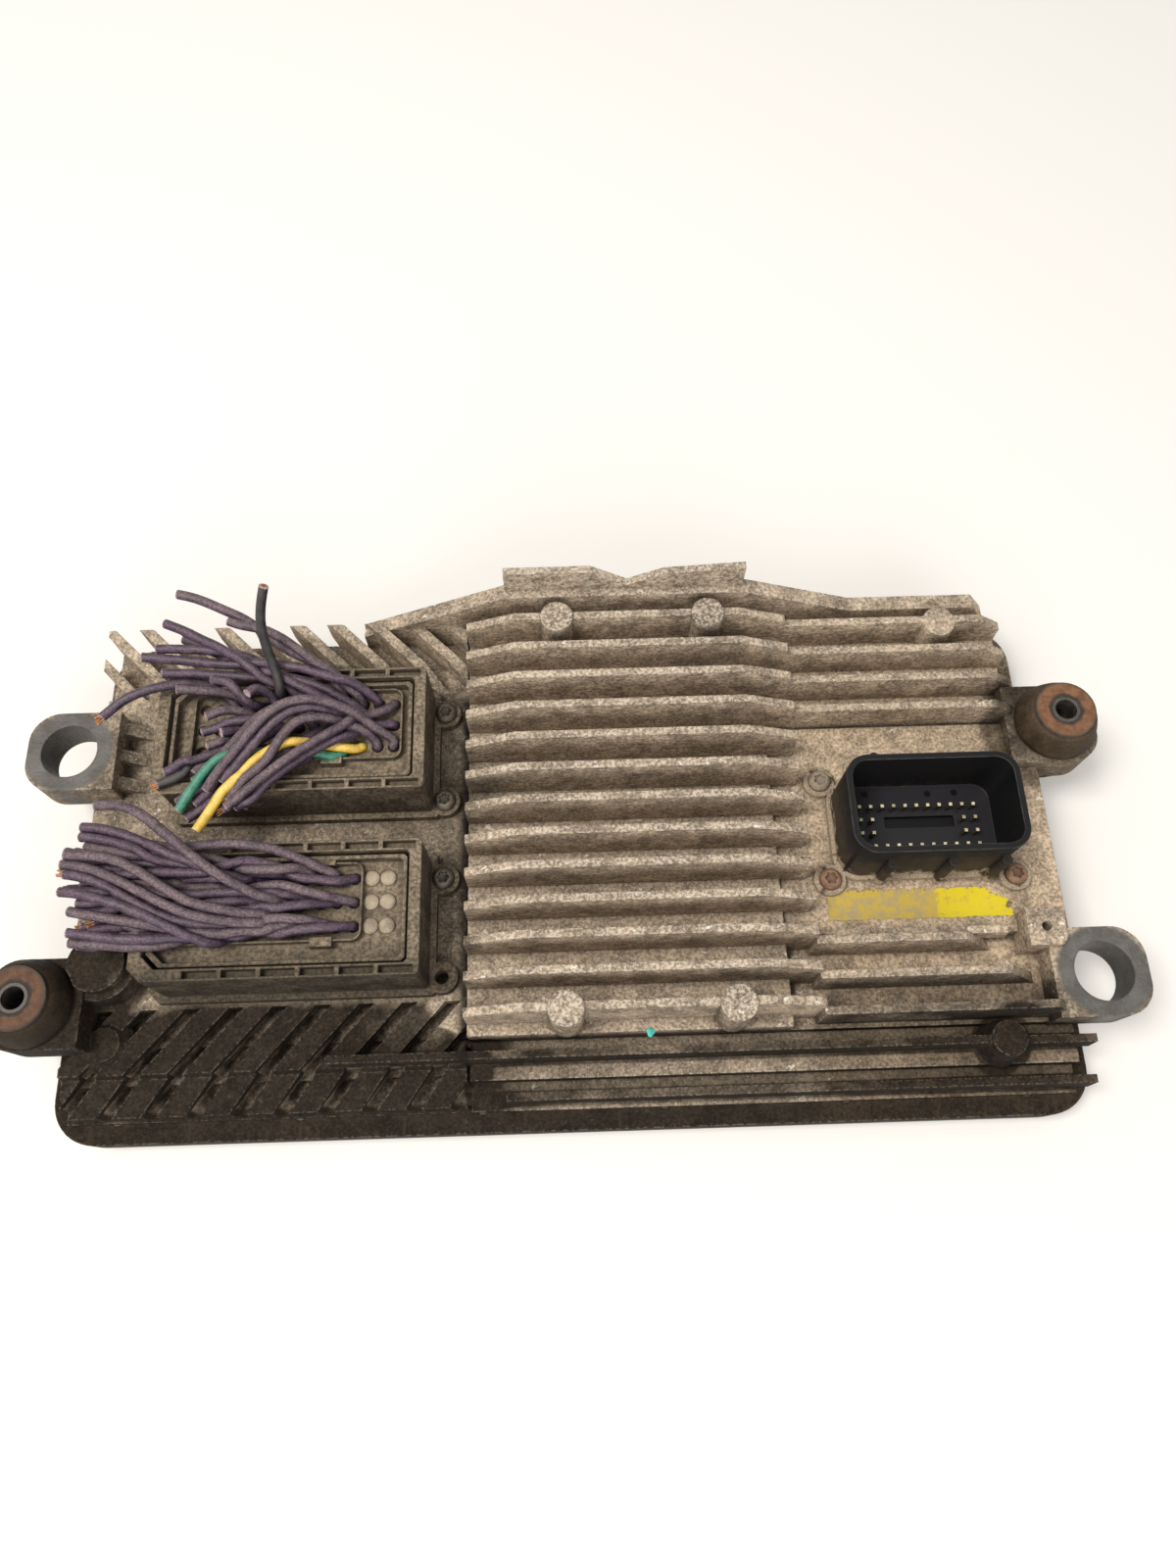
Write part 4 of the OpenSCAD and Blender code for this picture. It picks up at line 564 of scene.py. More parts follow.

# wires laid one by one: row and column of the cavity, finish, and the points they pass
# most follow the photo, and the fourth and the last nine upper ones fill their bundle
upperRoutes = [
    (2, 12, "wireDusty", [(-54.5, 41, 48), (-60.5, 37.5, 50.5), (-66.5, 34, 53.5), (-73.5, 28, 56.5),
     (-80.5, 23, 57.5), (-87.5, 18, 56.5), (-94, 13.5, 55), (-100.5, 9, 53)]),
    (1, 12, "wireViolet", [(-55, 36, 47.5), (-60.5, 34.5, 50), (-67.5, 30.5, 52.5), (-74.5, 26.5, 53.5),
     (-81.5, 21.5, 54), (-87.5, 17.5, 53.5), (-94, 13, 52.5), (-99.5, 9.5, 51.5)]),
    (0, 12, "wireDusty", [(-53.5, 31.5, 48), (-58.5, 33, 51), (-62.5, 35.5, 54.5), (-68.5, 38, 58.5),
     (-74.5, 39.5, 61), (-81.5, 39, 62), (-87, 36.5, 62), (-92, 31.5, 61), (-96.5, 26, 59),
     (-101, 21, 57), (-105, 16, 55), (-107, 13, 54)]),
    (1, 9, "wireViolet", [(-68, 37, 52), (-74, 38, 58), (-81, 37, 59.5), (-86, 34, 59.5),
     (-90.5, 29.5, 58.5), (-95, 24, 57), (-99, 19, 55.5), (-103, 14.5, 54)]),
    (0, 11, "wireDusty", [(-59.5, 32.5, 49), (-64, 34, 52), (-70, 35, 55.5), (-75.5, 35, 58),
     (-81, 33.5, 59), (-84.5, 29, 58.5), (-87, 24, 57.5), (-90.5, 19, 56), (-96, 14, 54.5),
     (-101.5, 10, 53.5)]),
    (0, 10, "wireYellow", [(-67, 27, 47), (-71.5, 28, 50), (-77.5, 28, 53), (-83, 27.5, 55.5),
     (-87.5, 25.5, 56), (-92, 23, 56), (-96, 19.5, 55.5), (-100, 15, 55), (-104.5, 8.5, 54),
     (-109.5, 0.5, 53)]),
    (0, 9, "wireGreen", [(-69, 24.5, 47), (-75, 25.5, 49.5), (-82, 26.5, 51.5), (-89.5, 25.5, 52.5),
     (-97, 24, 53.5), (-105, 23, 55), (-108.5, 19, 54.5), (-111.5, 14, 54), (-115.5, 7, 53)]),
    (2, 11, "wireViolet", [(-61, 46.5, 50), (-67, 48.5, 53), (-73.5, 51, 55.5), (-80.5, 52, 57),
     (-88, 53, 57.5), (-96.5, 53, 57.5), (-105, 53.5, 57), (-114, 55, 57), (-122.5, 56, 57),
     (-130.5, 57, 57)]),
    (2, 10, "wireDusty", [(-64, 46, 50.5), (-70, 49.5, 53.5), (-76, 52.5, 57), (-82, 57, 60),
     (-87.5, 60.5, 61), (-94, 63.5, 62), (-102.5, 66, 62.5)]),
    (2, 9, "wireDusty", [(-71, 50.5, 53), (-77.5, 54.5, 56), (-84.5, 57, 59), (-90.5, 61.5, 61),
     (-96.5, 65, 62), (-102, 68, 63), (-108.5, 71.5, 63.5), (-114, 74, 64), (-119, 75, 64)]),
    (2, 5, "wireDark", [(-87.5, 43.5, 52), (-87.5, 48.5, 58), (-89, 53.5, 66), (-89.5, 58, 73),
     (-88, 61.5, 79), (-86, 64.5, 84)]),
    (2, 8, "wireViolet", [(-82, 45, 50.5), (-87.5, 46, 54), (-90.5, 49, 56), (-95.5, 52.5, 58),
     (-103, 56.5, 59), (-110, 60, 59.5), (-116.5, 64, 60), (-123.5, 67, 60)]),
    (2, 7, "wireViolet", [(-84, 45, 50), (-88, 46, 53.5), (-91, 51, 56), (-96, 54.5, 57.5),
     (-101.5, 57, 58), (-110, 58.5, 58), (-119.5, 59, 58), (-126, 59.5, 57.5)]),
    (2, 2, "wireViolet", [(-106, 48, 48), (-114.5, 49.5, 52), (-120, 49, 54), (-127.5, 47, 55),
     (-135, 44, 55), (-140, 40, 54), (-142, 38.5, 53.5)]),
    (2, 3, "wireDusty", [(-103, 46.5, 50), (-109, 46.5, 52.5), (-114, 46.5, 54), (-119.5, 46.5, 55)]),
    (2, 4, "wireViolet", [(-94, 41.5, 51), (-96.5, 41, 55), (-99, 43, 57.5), (-102, 46.5, 59),
     (-107.5, 48, 58)]),
    (1, 4, "wireDusty", [(-96, 38.5, 51), (-100, 39, 54), (-104, 38.5, 56), (-109, 36.5, 56)]),
    (2, 6, "wireViolet", [(-87, 43, 50), (-91, 44.5, 55), (-94, 45, 58), (-96.5, 42.5, 58.5)]),
    (1, 3, "wireViolet", [(-99.5, 34.5, 51), (-102, 33, 53), (-104.5, 31, 54)]),
    (1, 2, "wireDusty", [(-103, 31.5, 51), (-105, 29, 53), (-108.5, 27, 53)]),
    (0, 3, "wireViolet", [(-101.5, 28.5, 50), (-107, 25.5, 52), (-114.5, 21.5, 52.5), (-121, 19.5, 52)]),
    (0, 2, "wireDusty", [(-103.5, 26, 49), (-108, 23, 51), (-114, 19.5, 51.5)]),
    (0, 1, "wireDark", [(-112.5, 22, 48.5), (-118, 18.5, 50), (-123, 16, 50)]),
    (0, 4, "wireViolet", [(-98, 20, 49.5), (-103.5, 13, 51), (-108.5, 9, 51), (-113.5, 5, 51)]),
    (0, 5, "wireDusty", [(-93.5, 27, 51), (-97.5, 23.5, 53), (-101, 20, 54)]),
    (1, 11, "wireViolet", [(-67, 43, 51), (-78, 48, 54), (-90, 50.5, 55), (-104, 51, 54.5),
     (-116, 52.5, 54), (-125, 53, 53.5)]),
    (1, 10, "wireViolet", [(-70, 41, 52), (-80, 45.5, 55), (-91, 50, 56), (-101, 54.5, 55.5),
     (-112, 61, 55.5), (-119, 64, 55)]),
    (1, 8, "wireViolet", [(-78, 31, 51), (-85, 25.5, 53), (-91, 19, 53), (-96, 13, 52), (-98, 9, 51)]),
    (1, 7, "wireDusty", [(-83, 40, 53), (-89, 39, 56), (-95, 34, 56), (-100, 28, 55), (-106, 22, 53.5),
     (-112, 17, 52)]),
    (1, 6, "wireViolet", [(-88, 34, 51), (-94, 28, 53), (-101, 20, 52.5), (-107, 13, 51.5),
     (-111, 9, 51)]),
    (1, 5, "wireViolet", [(-92, 36, 51), (-97, 36, 54), (-103, 34.5, 53.5), (-111, 33, 52)]),
    (0, 8, "wireViolet", [(-78, 26, 49), (-86, 20.5, 50.5), (-94, 15, 51), (-103, 8, 50.5)]),
    (0, 7, "wireViolet", [(-83, 25.5, 49), (-90, 21, 50.5), (-97, 15.5, 50.5), (-104, 11, 50)]),
    (0, 6, "wireDusty", [(-88, 26, 49), (-95, 22.5, 51), (-104, 17, 51), (-117, 11, 50)]),
]
lowerRoutes = [
    (1, 7, "wireDusty", [(-82.5, -23, 51), (-88.5, -21.5, 56), (-94.5, -18.5, 59.5), (-102, -14, 62),
     (-109, -8.5, 63), (-116.5, -2, 63), (-123, 3.5, 62), (-130, 7, 60.5), (-137.5, 7, 59)]),
    (2, 9, "wireDusty", [(-69.5, -12.5, 48.5), (-76.5, -10, 51.5), (-84, -6.5, 54), (-92.5, -5, 56),
     (-101, -5, 57), (-110, -6, 57), (-117.5, -8, 56.5), (-125.5, -8.5, 56), (-134, -6, 56),
     (-140.5, -4.5, 55.5)]),
    (2, 10, "wireViolet", [(-70, -15, 49.5), (-79.5, -13, 52), (-90.5, -11.5, 54), (-102, -12, 55),
     (-114, -12.5, 55), (-128, -13.5, 54), (-141, -15, 53)]),
    (0, 7, "wireDusty", [(-84, -26, 51), (-91.5, -27, 54.5), (-98.5, -25, 58), (-106.5, -24, 60),
     (-114, -19.5, 61), (-121.5, -14, 61), (-129, -10, 60), (-137.5, -8, 59), (-145, -8.5, 58)]),
    (0, 6, "wireDusty", [(-89, -28, 53), (-96.5, -28.5, 56), (-105, -27.5, 58), (-113.5, -24, 59),
     (-121.5, -19.5, 59.5), (-129, -15.5, 59), (-137, -12, 58), (-145.5, -9.5, 57.5)]),
    (0, 3, "wireViolet", [(-98.5, -30, 49), (-99.5, -33, 52), (-103, -34, 54.5), (-107.5, -32.5, 57),
     (-117, -27.5, 59), (-126.5, -23.5, 59.5), (-135.5, -20.5, 59), (-140.5, -19, 58.5),
     (-145, -18.5, 57.5)]),
    (0, 4, "wireViolet", [(-97, -29, 53), (-108, -29, 56), (-117.5, -25.5, 57.5), (-126.5, -20.5, 58),
     (-134.5, -15.5, 58), (-144.5, -12.5, 57)]),
    (2, 5, "wireViolet", [(-93, -14, 52), (-101.5, -13, 55.5), (-111.5, -9.5, 57), (-120.5, -5.5, 57.5),
     (-129, -2, 57.5), (-136.5, 1, 57), (-142, 1.5, 56)]),
    (2, 4, "wireViolet", [(-98, -13.5, 51), (-107, -12, 54.5), (-117.5, -9.5, 56), (-126.5, -6.5, 57),
     (-134, -3, 57), (-142, -1.5, 56)]),
    (0, 8, "wireDusty", [(-79.5, -27.5, 50), (-93.5, -29, 52.5), (-107, -30, 54), (-121.5, -28, 55),
     (-133, -25.5, 55), (-143, -23.5, 54.5)]),
    (0, 5, "wireViolet", [(-95, -30, 50), (-108, -31.5, 51.5), (-122, -32, 53), (-133.5, -31, 53.5),
     (-143, -29.5, 53.5)]),
    (0, 1, "wireDusty", [(-112, -31.5, 50), (-119, -33, 51), (-132, -33, 51.5), (-143, -32, 51.5)]),
]
# lower wires that the photo hides: they end along the left border of the bundle, given as y and x
hiddenKit = {"rows": [(-32.0, -19.0), (-25.0, -5.0), (-14.0, 3.0)], "plugged": 2,
             "border": [(-33.6, -141.8), (-27.6, -142.1), (-23.8, -145.5), (-17.9, -146.9), (-9.9, -148.1),
                        (-3.1, -145.6), (2.1, -145.5), (9.1, -142.1)],
             "shares": (0.12, 0.35, 0.6, 0.82), "sway": 1.6, "shorter": 1.2, "endZ": 48.0, "endRise": 1.4,
             "top": 49.0, "topRise": 0.35}
# height that the wires keep above the deck and the plugs: middle y of each plug and right end of its wires
restKit = {"deck": 27.0, "plugs": ((34.2, -50.8), (-23.2, -60.8)), "middleX": -84.7, "half": (43, 22),
           "left": -115.8, "bed": 46.6, "wall": 5.2, "reach": 4, "rowShift": 2.4, "rowHalf": 11.5}


# a smooth line through the knots, cut into steps of equal length
def smoothLine(knots, count):
    knots = np.array(knots, float)
    padded = np.vstack([2 * knots[0] - knots[1], knots, 2 * knots[-1] - knots[-2]])
    fine = []
    for before, start, end, after in zip(padded, padded[1:], padded[2:], padded[3:]):
        for t in np.linspace(0, 1, 9)[:-1]:
            fine.append(0.5 * (2 * start + (end - before) * t
                               + (2 * before - 5 * start + 4 * end - after) * t ** 2
                               + (3 * start - 3 * end + after - before) * t ** 3))
    fine = np.array(fine + [knots[-1]])
    along = np.append(0, np.cumsum(np.linalg.norm(np.diff(fine, axis=0), axis=1)))
    even = np.linspace(0, along[-1], count)
    return np.stack([np.interp(even, along, fine[:, axis]) for axis in range(3)], axis=1)


# the first two knots of a wire: straight up out of its cavity
def cavityKnots(middle, row, column):
    kit = wireKit
    x, y = kit["firstX"] + column * kit["pitch"], middle + (row - 1) * kit["rowPitch"]
    return [(x, y, kit["exitZ"]), (x, y, kit["exitZ"] + kit["straight"])]


def hiddenKnots(row, column):
    kit = hiddenKit
    knots = cavityKnots(wireKit["lowerY"], row, column)
    x, y = knots[0][:2]
    low, high = kit["rows"][row]
    endY = low + (high - low) * ((column * 7 + row * 3) % 11) / 10
    endX = np.interp(endY, *zip(*kit["border"])) + (column * 5 + row * 3) % 7 * kit["shorter"]
    endZ = kit["endZ"] + (column * 3 + row * 5) % 5 * kit["endRise"]
    top = kit["top"] + kit["topRise"] * column + row
    for share in kit["shares"]:
        sway = kit["sway"] * math.sin(5.0 * share + column * 1.7 + row)
        knots.append((x + (endX - x) * share, y + (endY - y) * share + sway, top + (endZ - top) * share))
    return knots + [(endX, endY, endZ)]


def planWires():
    wires = []
    for bundle, routes in (("upper", upperRoutes), ("lower", lowerRoutes)):
        for row, column, finish, points in routes:
            wires.append((bundle, finish, cavityKnots(wireKit[bundle + "Y"], row, column) + points))
    taken = {route[:2] for route in lowerRoutes}
    for row in range(len(hiddenKit["rows"])):
        for column in range(wireKit["columns"] - hiddenKit["plugged"]):
            if (row, column) not in taken:
                finish = "wireDusty" if (column * 2 + row) % 3 == 0 else "wireViolet"
                wires.append(("lower", finish, hiddenKnots(row, column)))
    return wires


def restHeight(points):
    kit = restKit
    x, y = points[:, 0], points[:, 1]
    height = np.full(len(points), kit["deck"])
    for centre, right in kit["plugs"]:
        inside = (np.abs(x - kit["middleX"]) < kit["half"][0]) & (np.abs(y - centre) < kit["half"][1])
        beyond = np.maximum(np.maximum(x - right, kit["left"] - x), 0)
        aside = np.maximum(np.abs(y - centre - kit["rowShift"]) - kit["rowHalf"], 0)
        climb = kit["wall"] * np.clip(np.hypot(beyond, aside) / kit["reach"], 0, 1)
        height = np.where(inside, kit["bed"] + climb, height)
    return height


# push the wires apart, keep their drawn course and hold them above the plugs
def settleWires(lines):
    kit = wireKit
    wireCount, pointCount = lines.shape[:2]
    owner = np.repeat(np.arange(wireCount), pointCount)
    gap = kit["diameter"] * kit["spacing"]
    drawn = lines.copy()
    for turn in range(kit["rounds"]):
        flat = lines.reshape(-1, 3).astype(np.float32)
        length = (flat * flat).sum(1)
        squared = length[:, None] + length[None] - 2 * flat @ flat.T
        one, two = np.nonzero((squared < gap * gap) & (owner[:, None] < owner[None]))
        away = flat[one] - flat[two]
        far = np.maximum(np.linalg.norm(away, axis=1, keepdims=True), 0.05)
        push = away / far * (gap - far) * kit["push"]
        shift = np.zeros_like(flat)
        np.add.at(shift, one, push)
        np.add.at(shift, two, -push)
        lines = lines + np.clip(shift, -kit["mostShift"], kit["mostShift"]).reshape(lines.shape)
        lines[:, 1:-1] += kit["smooth"] * ((lines[:, :-2] + lines[:, 2:]) / 2 - lines[:, 1:-1])
        lines += kit["memory"] * (drawn - lines)
        flat = lines.reshape(-1, 3)
        flat[:, 2] = np.maximum(flat[:, 2], restHeight(flat))
        lines = flat.reshape(lines.shape)
        lines[:, :kit["fixed"]] = drawn[:, :kit["fixed"]]
    return lines


def makeWire(name, bundle, line, finish):
    curve = bpy.data.curves.new(name, "CURVE")
    curve.dimensions = "3D"
    curve.bevel_depth = wireKit["diameter"] / 2 * mm
    curve.bevel_resolution = 3
    curve.resolution_u = 3
    curve.use_fill_caps = True
    spline = curve.splines.new("BEZIER")
    spline.bezier_points.add(len(line) - 1)
    for knot, spot in zip(spline.bezier_points, line):
        knot.co = Vector(spot) * mm
        knot.handle_left_type = knot.handle_right_type = "AUTO"
    curve.materials.append(finishes[finish])
    wire = bpy.data.objects.new(name, curve)
    bpy.context.collection.objects.link(wire)
    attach(wire, "root")
    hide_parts(bundle)
    return wire


# stray wires with a node of their own, known by their colour or by where they end
strayNodes = {"wireYellow": "yellow_wire", "wireGreen": "green_wire", (-86, 64.5, 84): "dark_wire",
              (-119, 75, 64): "long_wire", (-142, 38.5, 53.5): "side_wire"}
wirePlan = planWires()
wireLines = settleWires(np.array([smoothLine(knots, wireKit["points"])
                                  for bundle, finish, knots in wirePlan]))
for number, ((bundle, finish, knots), line) in enumerate(zip(wirePlan, wireLines)):
    wire = makeWire(f"{bundle}Wire{number:02d}", bundle + "_bundle", line, finish)
    for key in (finish, knots[-1]):
        if key in strayNodes:
            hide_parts(strayNodes[key])


# a piece from a mesh in mm
def finishMesh(name, bm, materials, smooth=True):
    bmesh.ops.scale(bm, vec=(mm, mm, mm), verts=bm.verts)
    bmesh.ops.recalc_face_normals(bm, faces=bm.faces)
    mesh = bpy.data.meshes.new(name)
    bm.to_mesh(mesh)
    bm.free()
    for material in materials:
        mesh.materials.append(material)
    mesh.polygons.foreach_set("use_smooth", [smooth] * len(mesh.polygons))
    piece = bpy.data.objects.new(name, mesh)
    bpy.context.collection.objects.link(piece)
    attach(piece, "root")
    return piece


# turn an outline of radius and height about an upright axis
def revolve(bm, outline, steps, spot=(0, 0), closed=False):
    line = [bm.verts.new((spot[0] + r, spot[1], z)) for r, z in outline]
    ends = line[1:] + line[:1] if closed else line[1:]
    edges = [bm.edges.new(pair) for pair in zip(line, ends)]
    bmesh.ops.spin(bm, geom=line + edges, cent=(*spot, 0), axis=(0, 0, 1), angle=math.tau, steps=steps,
                   use_merge=True)


# cut ends: pale insulation on every wire, copper strands on some
strandKit = {"strands": 7, "strandRadius": 0.28, "ringRadius": 0.60, "flush": 0.3, "long": 2.6, "splay": 0.35,
             "cutRadius": 1.46, "cutThick": 0.5, "proud": 0.12, "sunk": 0.6, "rooted": 0.7, "sides": (6, 12)}


def addRod(bm, radius, height, place, index):
    old = set(bm.faces)
    made = bmesh.ops.create_cone(bm, cap_ends=True, segments=strandKit["sides"][index], radius1=radius,
                                 radius2=radius, depth=height)["verts"]
    bmesh.ops.transform(bm, matrix=place @ Matrix.Translation((0, 0, height / 2)), verts=made)
    for f in bm.faces:
        if f not in old:
            f.material_index = index


def makeCutEnds(lines):
    kit, chance = strandKit, random.Random(11)
    bm = bmesh.new()
    for number, line in enumerate(lines):
        tip = Vector(line[-1])
        ahead = (tip - Vector(line[-2])).normalized()
        lay = Matrix.Translation(tip) @ ahead.to_track_quat("Z", "Y").to_matrix().to_4x4()
        back = Matrix.Translation((0, 0, kit["proud"] - kit["cutThick"]))
        addRod(bm, kit["cutRadius"], kit["cutThick"], lay @ back, 1)
        frayed = number % 9 == 4
        if number % 3 != 1:
            continue
        for strand in range(kit["strands"]):
            turn = Matrix.Rotation(strand * math.tau / (kit["strands"] - 1), 4, "Z")
            lean = Matrix.Rotation(chance.uniform(0, kit["splay"]) if frayed else 0.0, 4, "Y")
            out = Matrix.Translation((kit["ringRadius"] if strand else 0.0, 0, -kit["sunk"]))
            height = (kit["long"] if frayed else kit["flush"]) * chance.uniform(0.6, 1.0) + kit["rooted"]
            addRod(bm, kit["strandRadius"], height, lay @ turn @ out @ lean, 0)
    finishMesh("cutEnds", bm, [finishes["copper"], finishes["cutInsulation"]], smooth=False)


makeCutEnds(wireLines)


# pan head screws with a star recess, in place of the plain ones
screwKit = {"head": 3.5, "crown": 2.4, "shank": 2.0, "below": 5.0, "recess": 1.75, "depth": 1.3, "lobes": 6,
            "lobeDepth": 0.16, "steps": 48, "bevel": 0.12, "turn": 0.7,
            "dome": ((1.0, 0.9), (0.95, 1.35), (0.80, 1.95))}
headerScrewSpots = [(81.8, -14.4, 32.0, "rustySteel"), (139.8, -14.4, 32.0, "rustySteel"),
                    (81.8, 18.4, 32.0, "dustySteel"), (139.8, 18.4, 32.0, "dustySteel")]
socketScrewSpots = [(-39.15, 48.3, 28.0, "zincSteel"), (-39.15, 17.1, 28.0, "zincSteel"),
                    (-130.25, 36.2, 28.0, "zincSteel"), (-39.15, -9.1, 28.0, "zincSteel"),
                    (-130.25, -21.2, 28.0, "zincSteel")]


def screwOutline():
    kit = screwKit
    head, crown, recess, floor = kit["head"], kit["crown"], kit["recess"], kit["crown"] - kit["depth"]
    dome = [(head * share, z) for share, z in kit["dome"]]
    return [(0, -kit["below"]), (kit["shank"], -kit["below"]), (kit["shank"], 0), (head, 0), *dome,
            (head * 0.62, crown), (recess + kit["bevel"], crown), (recess, crown - kit["bevel"]),
            (recess * 0.92, floor), (0, floor)]


def addScrew(bm, spot, turn, index):
    kit = screwKit
    old = set(bm.faces)
    revolve(bm, screwOutline(), kit["steps"])
    verts = list({v for f in bm.faces if f not in old for v in f.verts})
    bmesh.ops.remove_doubles(bm, verts=verts, dist=1e-4)
    new = [f for f in bm.faces if f not in old]
    verts = list({v for f in new for v in f.verts})
    for v in verts:  # the star shape of the recess
        radius = math.hypot(v.co.x, v.co.y)
        if 0.1 < radius < kit["recess"] + 0.2 and v.co.z > 0.5:
            share = 1 + kit["lobeDepth"] * math.cos(kit["lobes"] * math.atan2(v.co.y, v.co.x))
            v.co.x, v.co.y = v.co.x * share, v.co.y * share
    for f in new:
        f.material_index = index
    bmesh.ops.transform(bm, matrix=Matrix.Translation(spot) @ Matrix.Rotation(turn, 4, "Z"), verts=verts)


def makeScrews(name, node, spots, materials):
    bm = bmesh.new()
    for number, (*spot, finish) in enumerate(spots):
        addScrew(bm, spot, number * screwKit["turn"], materials.index(finish))
    piece = finishMesh(name, bm, [finishes[m] for m in materials])
    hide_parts(node)


makeScrews("headerScrewHeads", "header_screws", headerScrewSpots, ["rustySteel", "dustySteel"])
makeScrews("socketScrewHeads", "socket_screws", socketScrewSpots, ["zincSteel"])


# rubber isolators with bulging collars
isolatorKit = {"steps": 72, "spots": {"left": (-160.0, -46.0), "right": (160.0, 35.5)},
               "outline": [(4.5, 44.0), (9.5, 44.0), (10.4, 43.5), (11.4, 41.6), (12.5, 38.9), (13.1, 37.0),
                           (13.2, 36.0), (12.9, 35.2), (12.4, 35.0), (8.9, 35.0), (8.9, 22.0), (12.4, 22.0),
                           (12.9, 21.8), (13.2, 21.0), (13.1, 20.0), (12.5, 18.1), (11.4, 15.4), (10.4, 13.5),
                           (9.5, 13.0), (4.5, 13.0)]}


def makeIsolator(side, spot):
    bm = bmesh.new()
    revolve(bm, isolatorKit["outline"], isolatorKit["steps"], closed=True)
    bmesh.ops.remove_doubles(bm, verts=bm.verts, dist=1e-4)
    bmesh.ops.translate(bm, vec=(*spot, 0), verts=bm.verts)
    piece = finishMesh(side + "IsolatorRubber", bm, [finishes["isolatorRubber"]])
    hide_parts(side + "_isolator")


for side, spot in isolatorKit["spots"].items():
    makeIsolator(side, spot)
print("screws and isolators made")


# domed plugs in the unused cavities of the lower plug
capKit = {"columns": (-58.3, -53.3), "rows": (-28.1, -20.8, -13.5), "foot": 43.0, "face": 45.05, "stem": 2.1,
          "rim": 2.45, "dome": ((1.0, 0.35), (0.9, 0.62), (0.6, 0.95), (0.0, 0.95)), "steps": 32}


def makeCavityCaps():
    kit = capKit
    stem, rim, foot, face = kit["stem"], kit["rim"], kit["foot"], kit["face"]
    bm = bmesh.new()
    outline = [(0, foot), (stem, foot), (stem, face), (rim, face)]
    outline += [(rim * share, face + rise) for share, rise in kit["dome"]]
    for x in kit["columns"]:
        for y in kit["rows"]:
            revolve(bm, outline, kit["steps"], (x, y))
    bmesh.ops.remove_doubles(bm, verts=bm.verts, dist=1e-4)
    piece = finishMesh("cavityCaps", bm, [finishes["plugRubber"]])
    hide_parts("cavity_plugs")


makeCavityCaps()


# worn blank sticker on the header deck: bright at the right, faded at the left, torn at its back right corner
stickerKit = {"low": (80.6, -27.0), "high": (137.6, -17.6), "z": 30.0, "thick": 0.12, "cells": (90, 18),
              "tear": (128.6, 0.50), "ragged": (-0.6, 0.5), "fresh": (0.1140, 0.1152),
              "holes": (0.126, 0.138), "faded": ((0.52, 0.38, 0.060), (0.40, 0.31, 0.150)),
              "bright": ((0.66, 0.53, 0.012), (0.42, 0.33, 0.05))}


def makeStickerFinish():
    kit = stickerKit
    mat, tree, shader = newMaterial("wornSticker")
    spots = useGroup(tree, speckle, {"Scale": 300.0})
    mottle = spots["Mottle"]
    along = split(tree, objectPlace(tree))["X"]
    fresh = ramp(tree, plus(tree, along, ramp(tree, mottle, 0.3, 0.7, -0.0012, 0.0012)), *kit["fresh"])
    faded = mixColour(tree, ramp(tree, mottle, 0.42, 0.62), *kit["faded"])
    bright = mixColour(tree, ramp(tree, mottle, 0.5, 0.75), *kit["bright"])
    patch = minus(tree, spots["Blotch"], ramp(tree, along, *kit["holes"], 0.0, 0.12))
    fill(tree, shader, {"Base Color": mixColour(tree, fresh, faded, bright),
                        "Roughness": ramp(tree, mottle, 0.3, 0.7, 0.4, 0.65),
                        "Alpha": ramp(tree, patch, 0.30, 0.32)})
    return mat


def makeSticker():
    kit = stickerKit
    low, high = kit["low"], kit["high"]
    bm = bmesh.new()
    bmesh.ops.create_grid(bm, x_segments=kit["cells"][0], y_segments=kit["cells"][1], size=0.5)
    width, depth = high[0] - low[0], high[1] - low[1]
    bmesh.ops.scale(bm, vec=(width, depth, 1), verts=bm.verts)
    middle = (low[0] + width / 2, low[1] + depth / 2, kit["z"] + kit["thick"])
    bmesh.ops.translate(bm, vec=middle, verts=bm.verts)
    chance = random.Random(3)
    torn = []
    for f in bm.faces:
        spot = f.calc_center_median()
        edge = high[1] - max(0.0, spot.x - kit["tear"][0]) * kit["tear"][1] + chance.uniform(*kit["ragged"])
        if spot.y > edge:
            torn.append(f)
    bmesh.ops.delete(bm, geom=torn, context="FACES")
    for v in [v for v in bm.verts if v.is_boundary]:
        v.co.x += chance.uniform(-0.25, 0.2)
        v.co.y += chance.uniform(-0.2, 0.2)
    for v in bm.verts:
        v.co.z += chance.uniform(0, 0.05)
    finishMesh("wornSticker", bm, [makeStickerFinish()])


makeSticker()


# dab of turquoise paint on the floor of the front valley
paintKit = {"spot": (23.4, -59.4, 32.0), "radius": 1.3, "height": 0.25, "wave": 0.18, "shake": 0.03}
paintLook = {"base": (0.02, 0.36, 0.32), "light": (0.05, 0.50, 0.45), "dust": (0.2, 0.35, 0.3),
             "dustAmount": 0.2, "scale": 900.0, "rough": (0.35, 0.5), "bump": 0.2}


def makePaintDab():
    kit = paintKit
    bm = bmesh.new()
    bmesh.ops.create_icosphere(bm, subdivisions=3, radius=1.0)
    chance = random.Random(5)
    for v in bm.verts:
        wave = 1 + kit["wave"] * math.sin(3 * math.atan2(v.co.y, v.co.x) + 0.6)
        wave += chance.uniform(-kit["shake"], kit["shake"])
        v.co.x, v.co.y = v.co.x * wave, v.co.y * wave
    bmesh.ops.bisect_plane(bm, geom=bm.verts[:] + bm.edges[:] + bm.faces[:], plane_co=(0, 0, 0),
                           plane_no=(0, 0, 1), clear_inner=True)
    bmesh.ops.scale(bm, vec=(kit["radius"], kit["radius"], kit["height"]), verts=bm.verts)
    bmesh.ops.translate(bm, vec=kit["spot"], verts=bm.verts)
    finishMesh("paintDab", bm, [makeFinish("turquoisePaint", paintLook)])


makePaintDab()

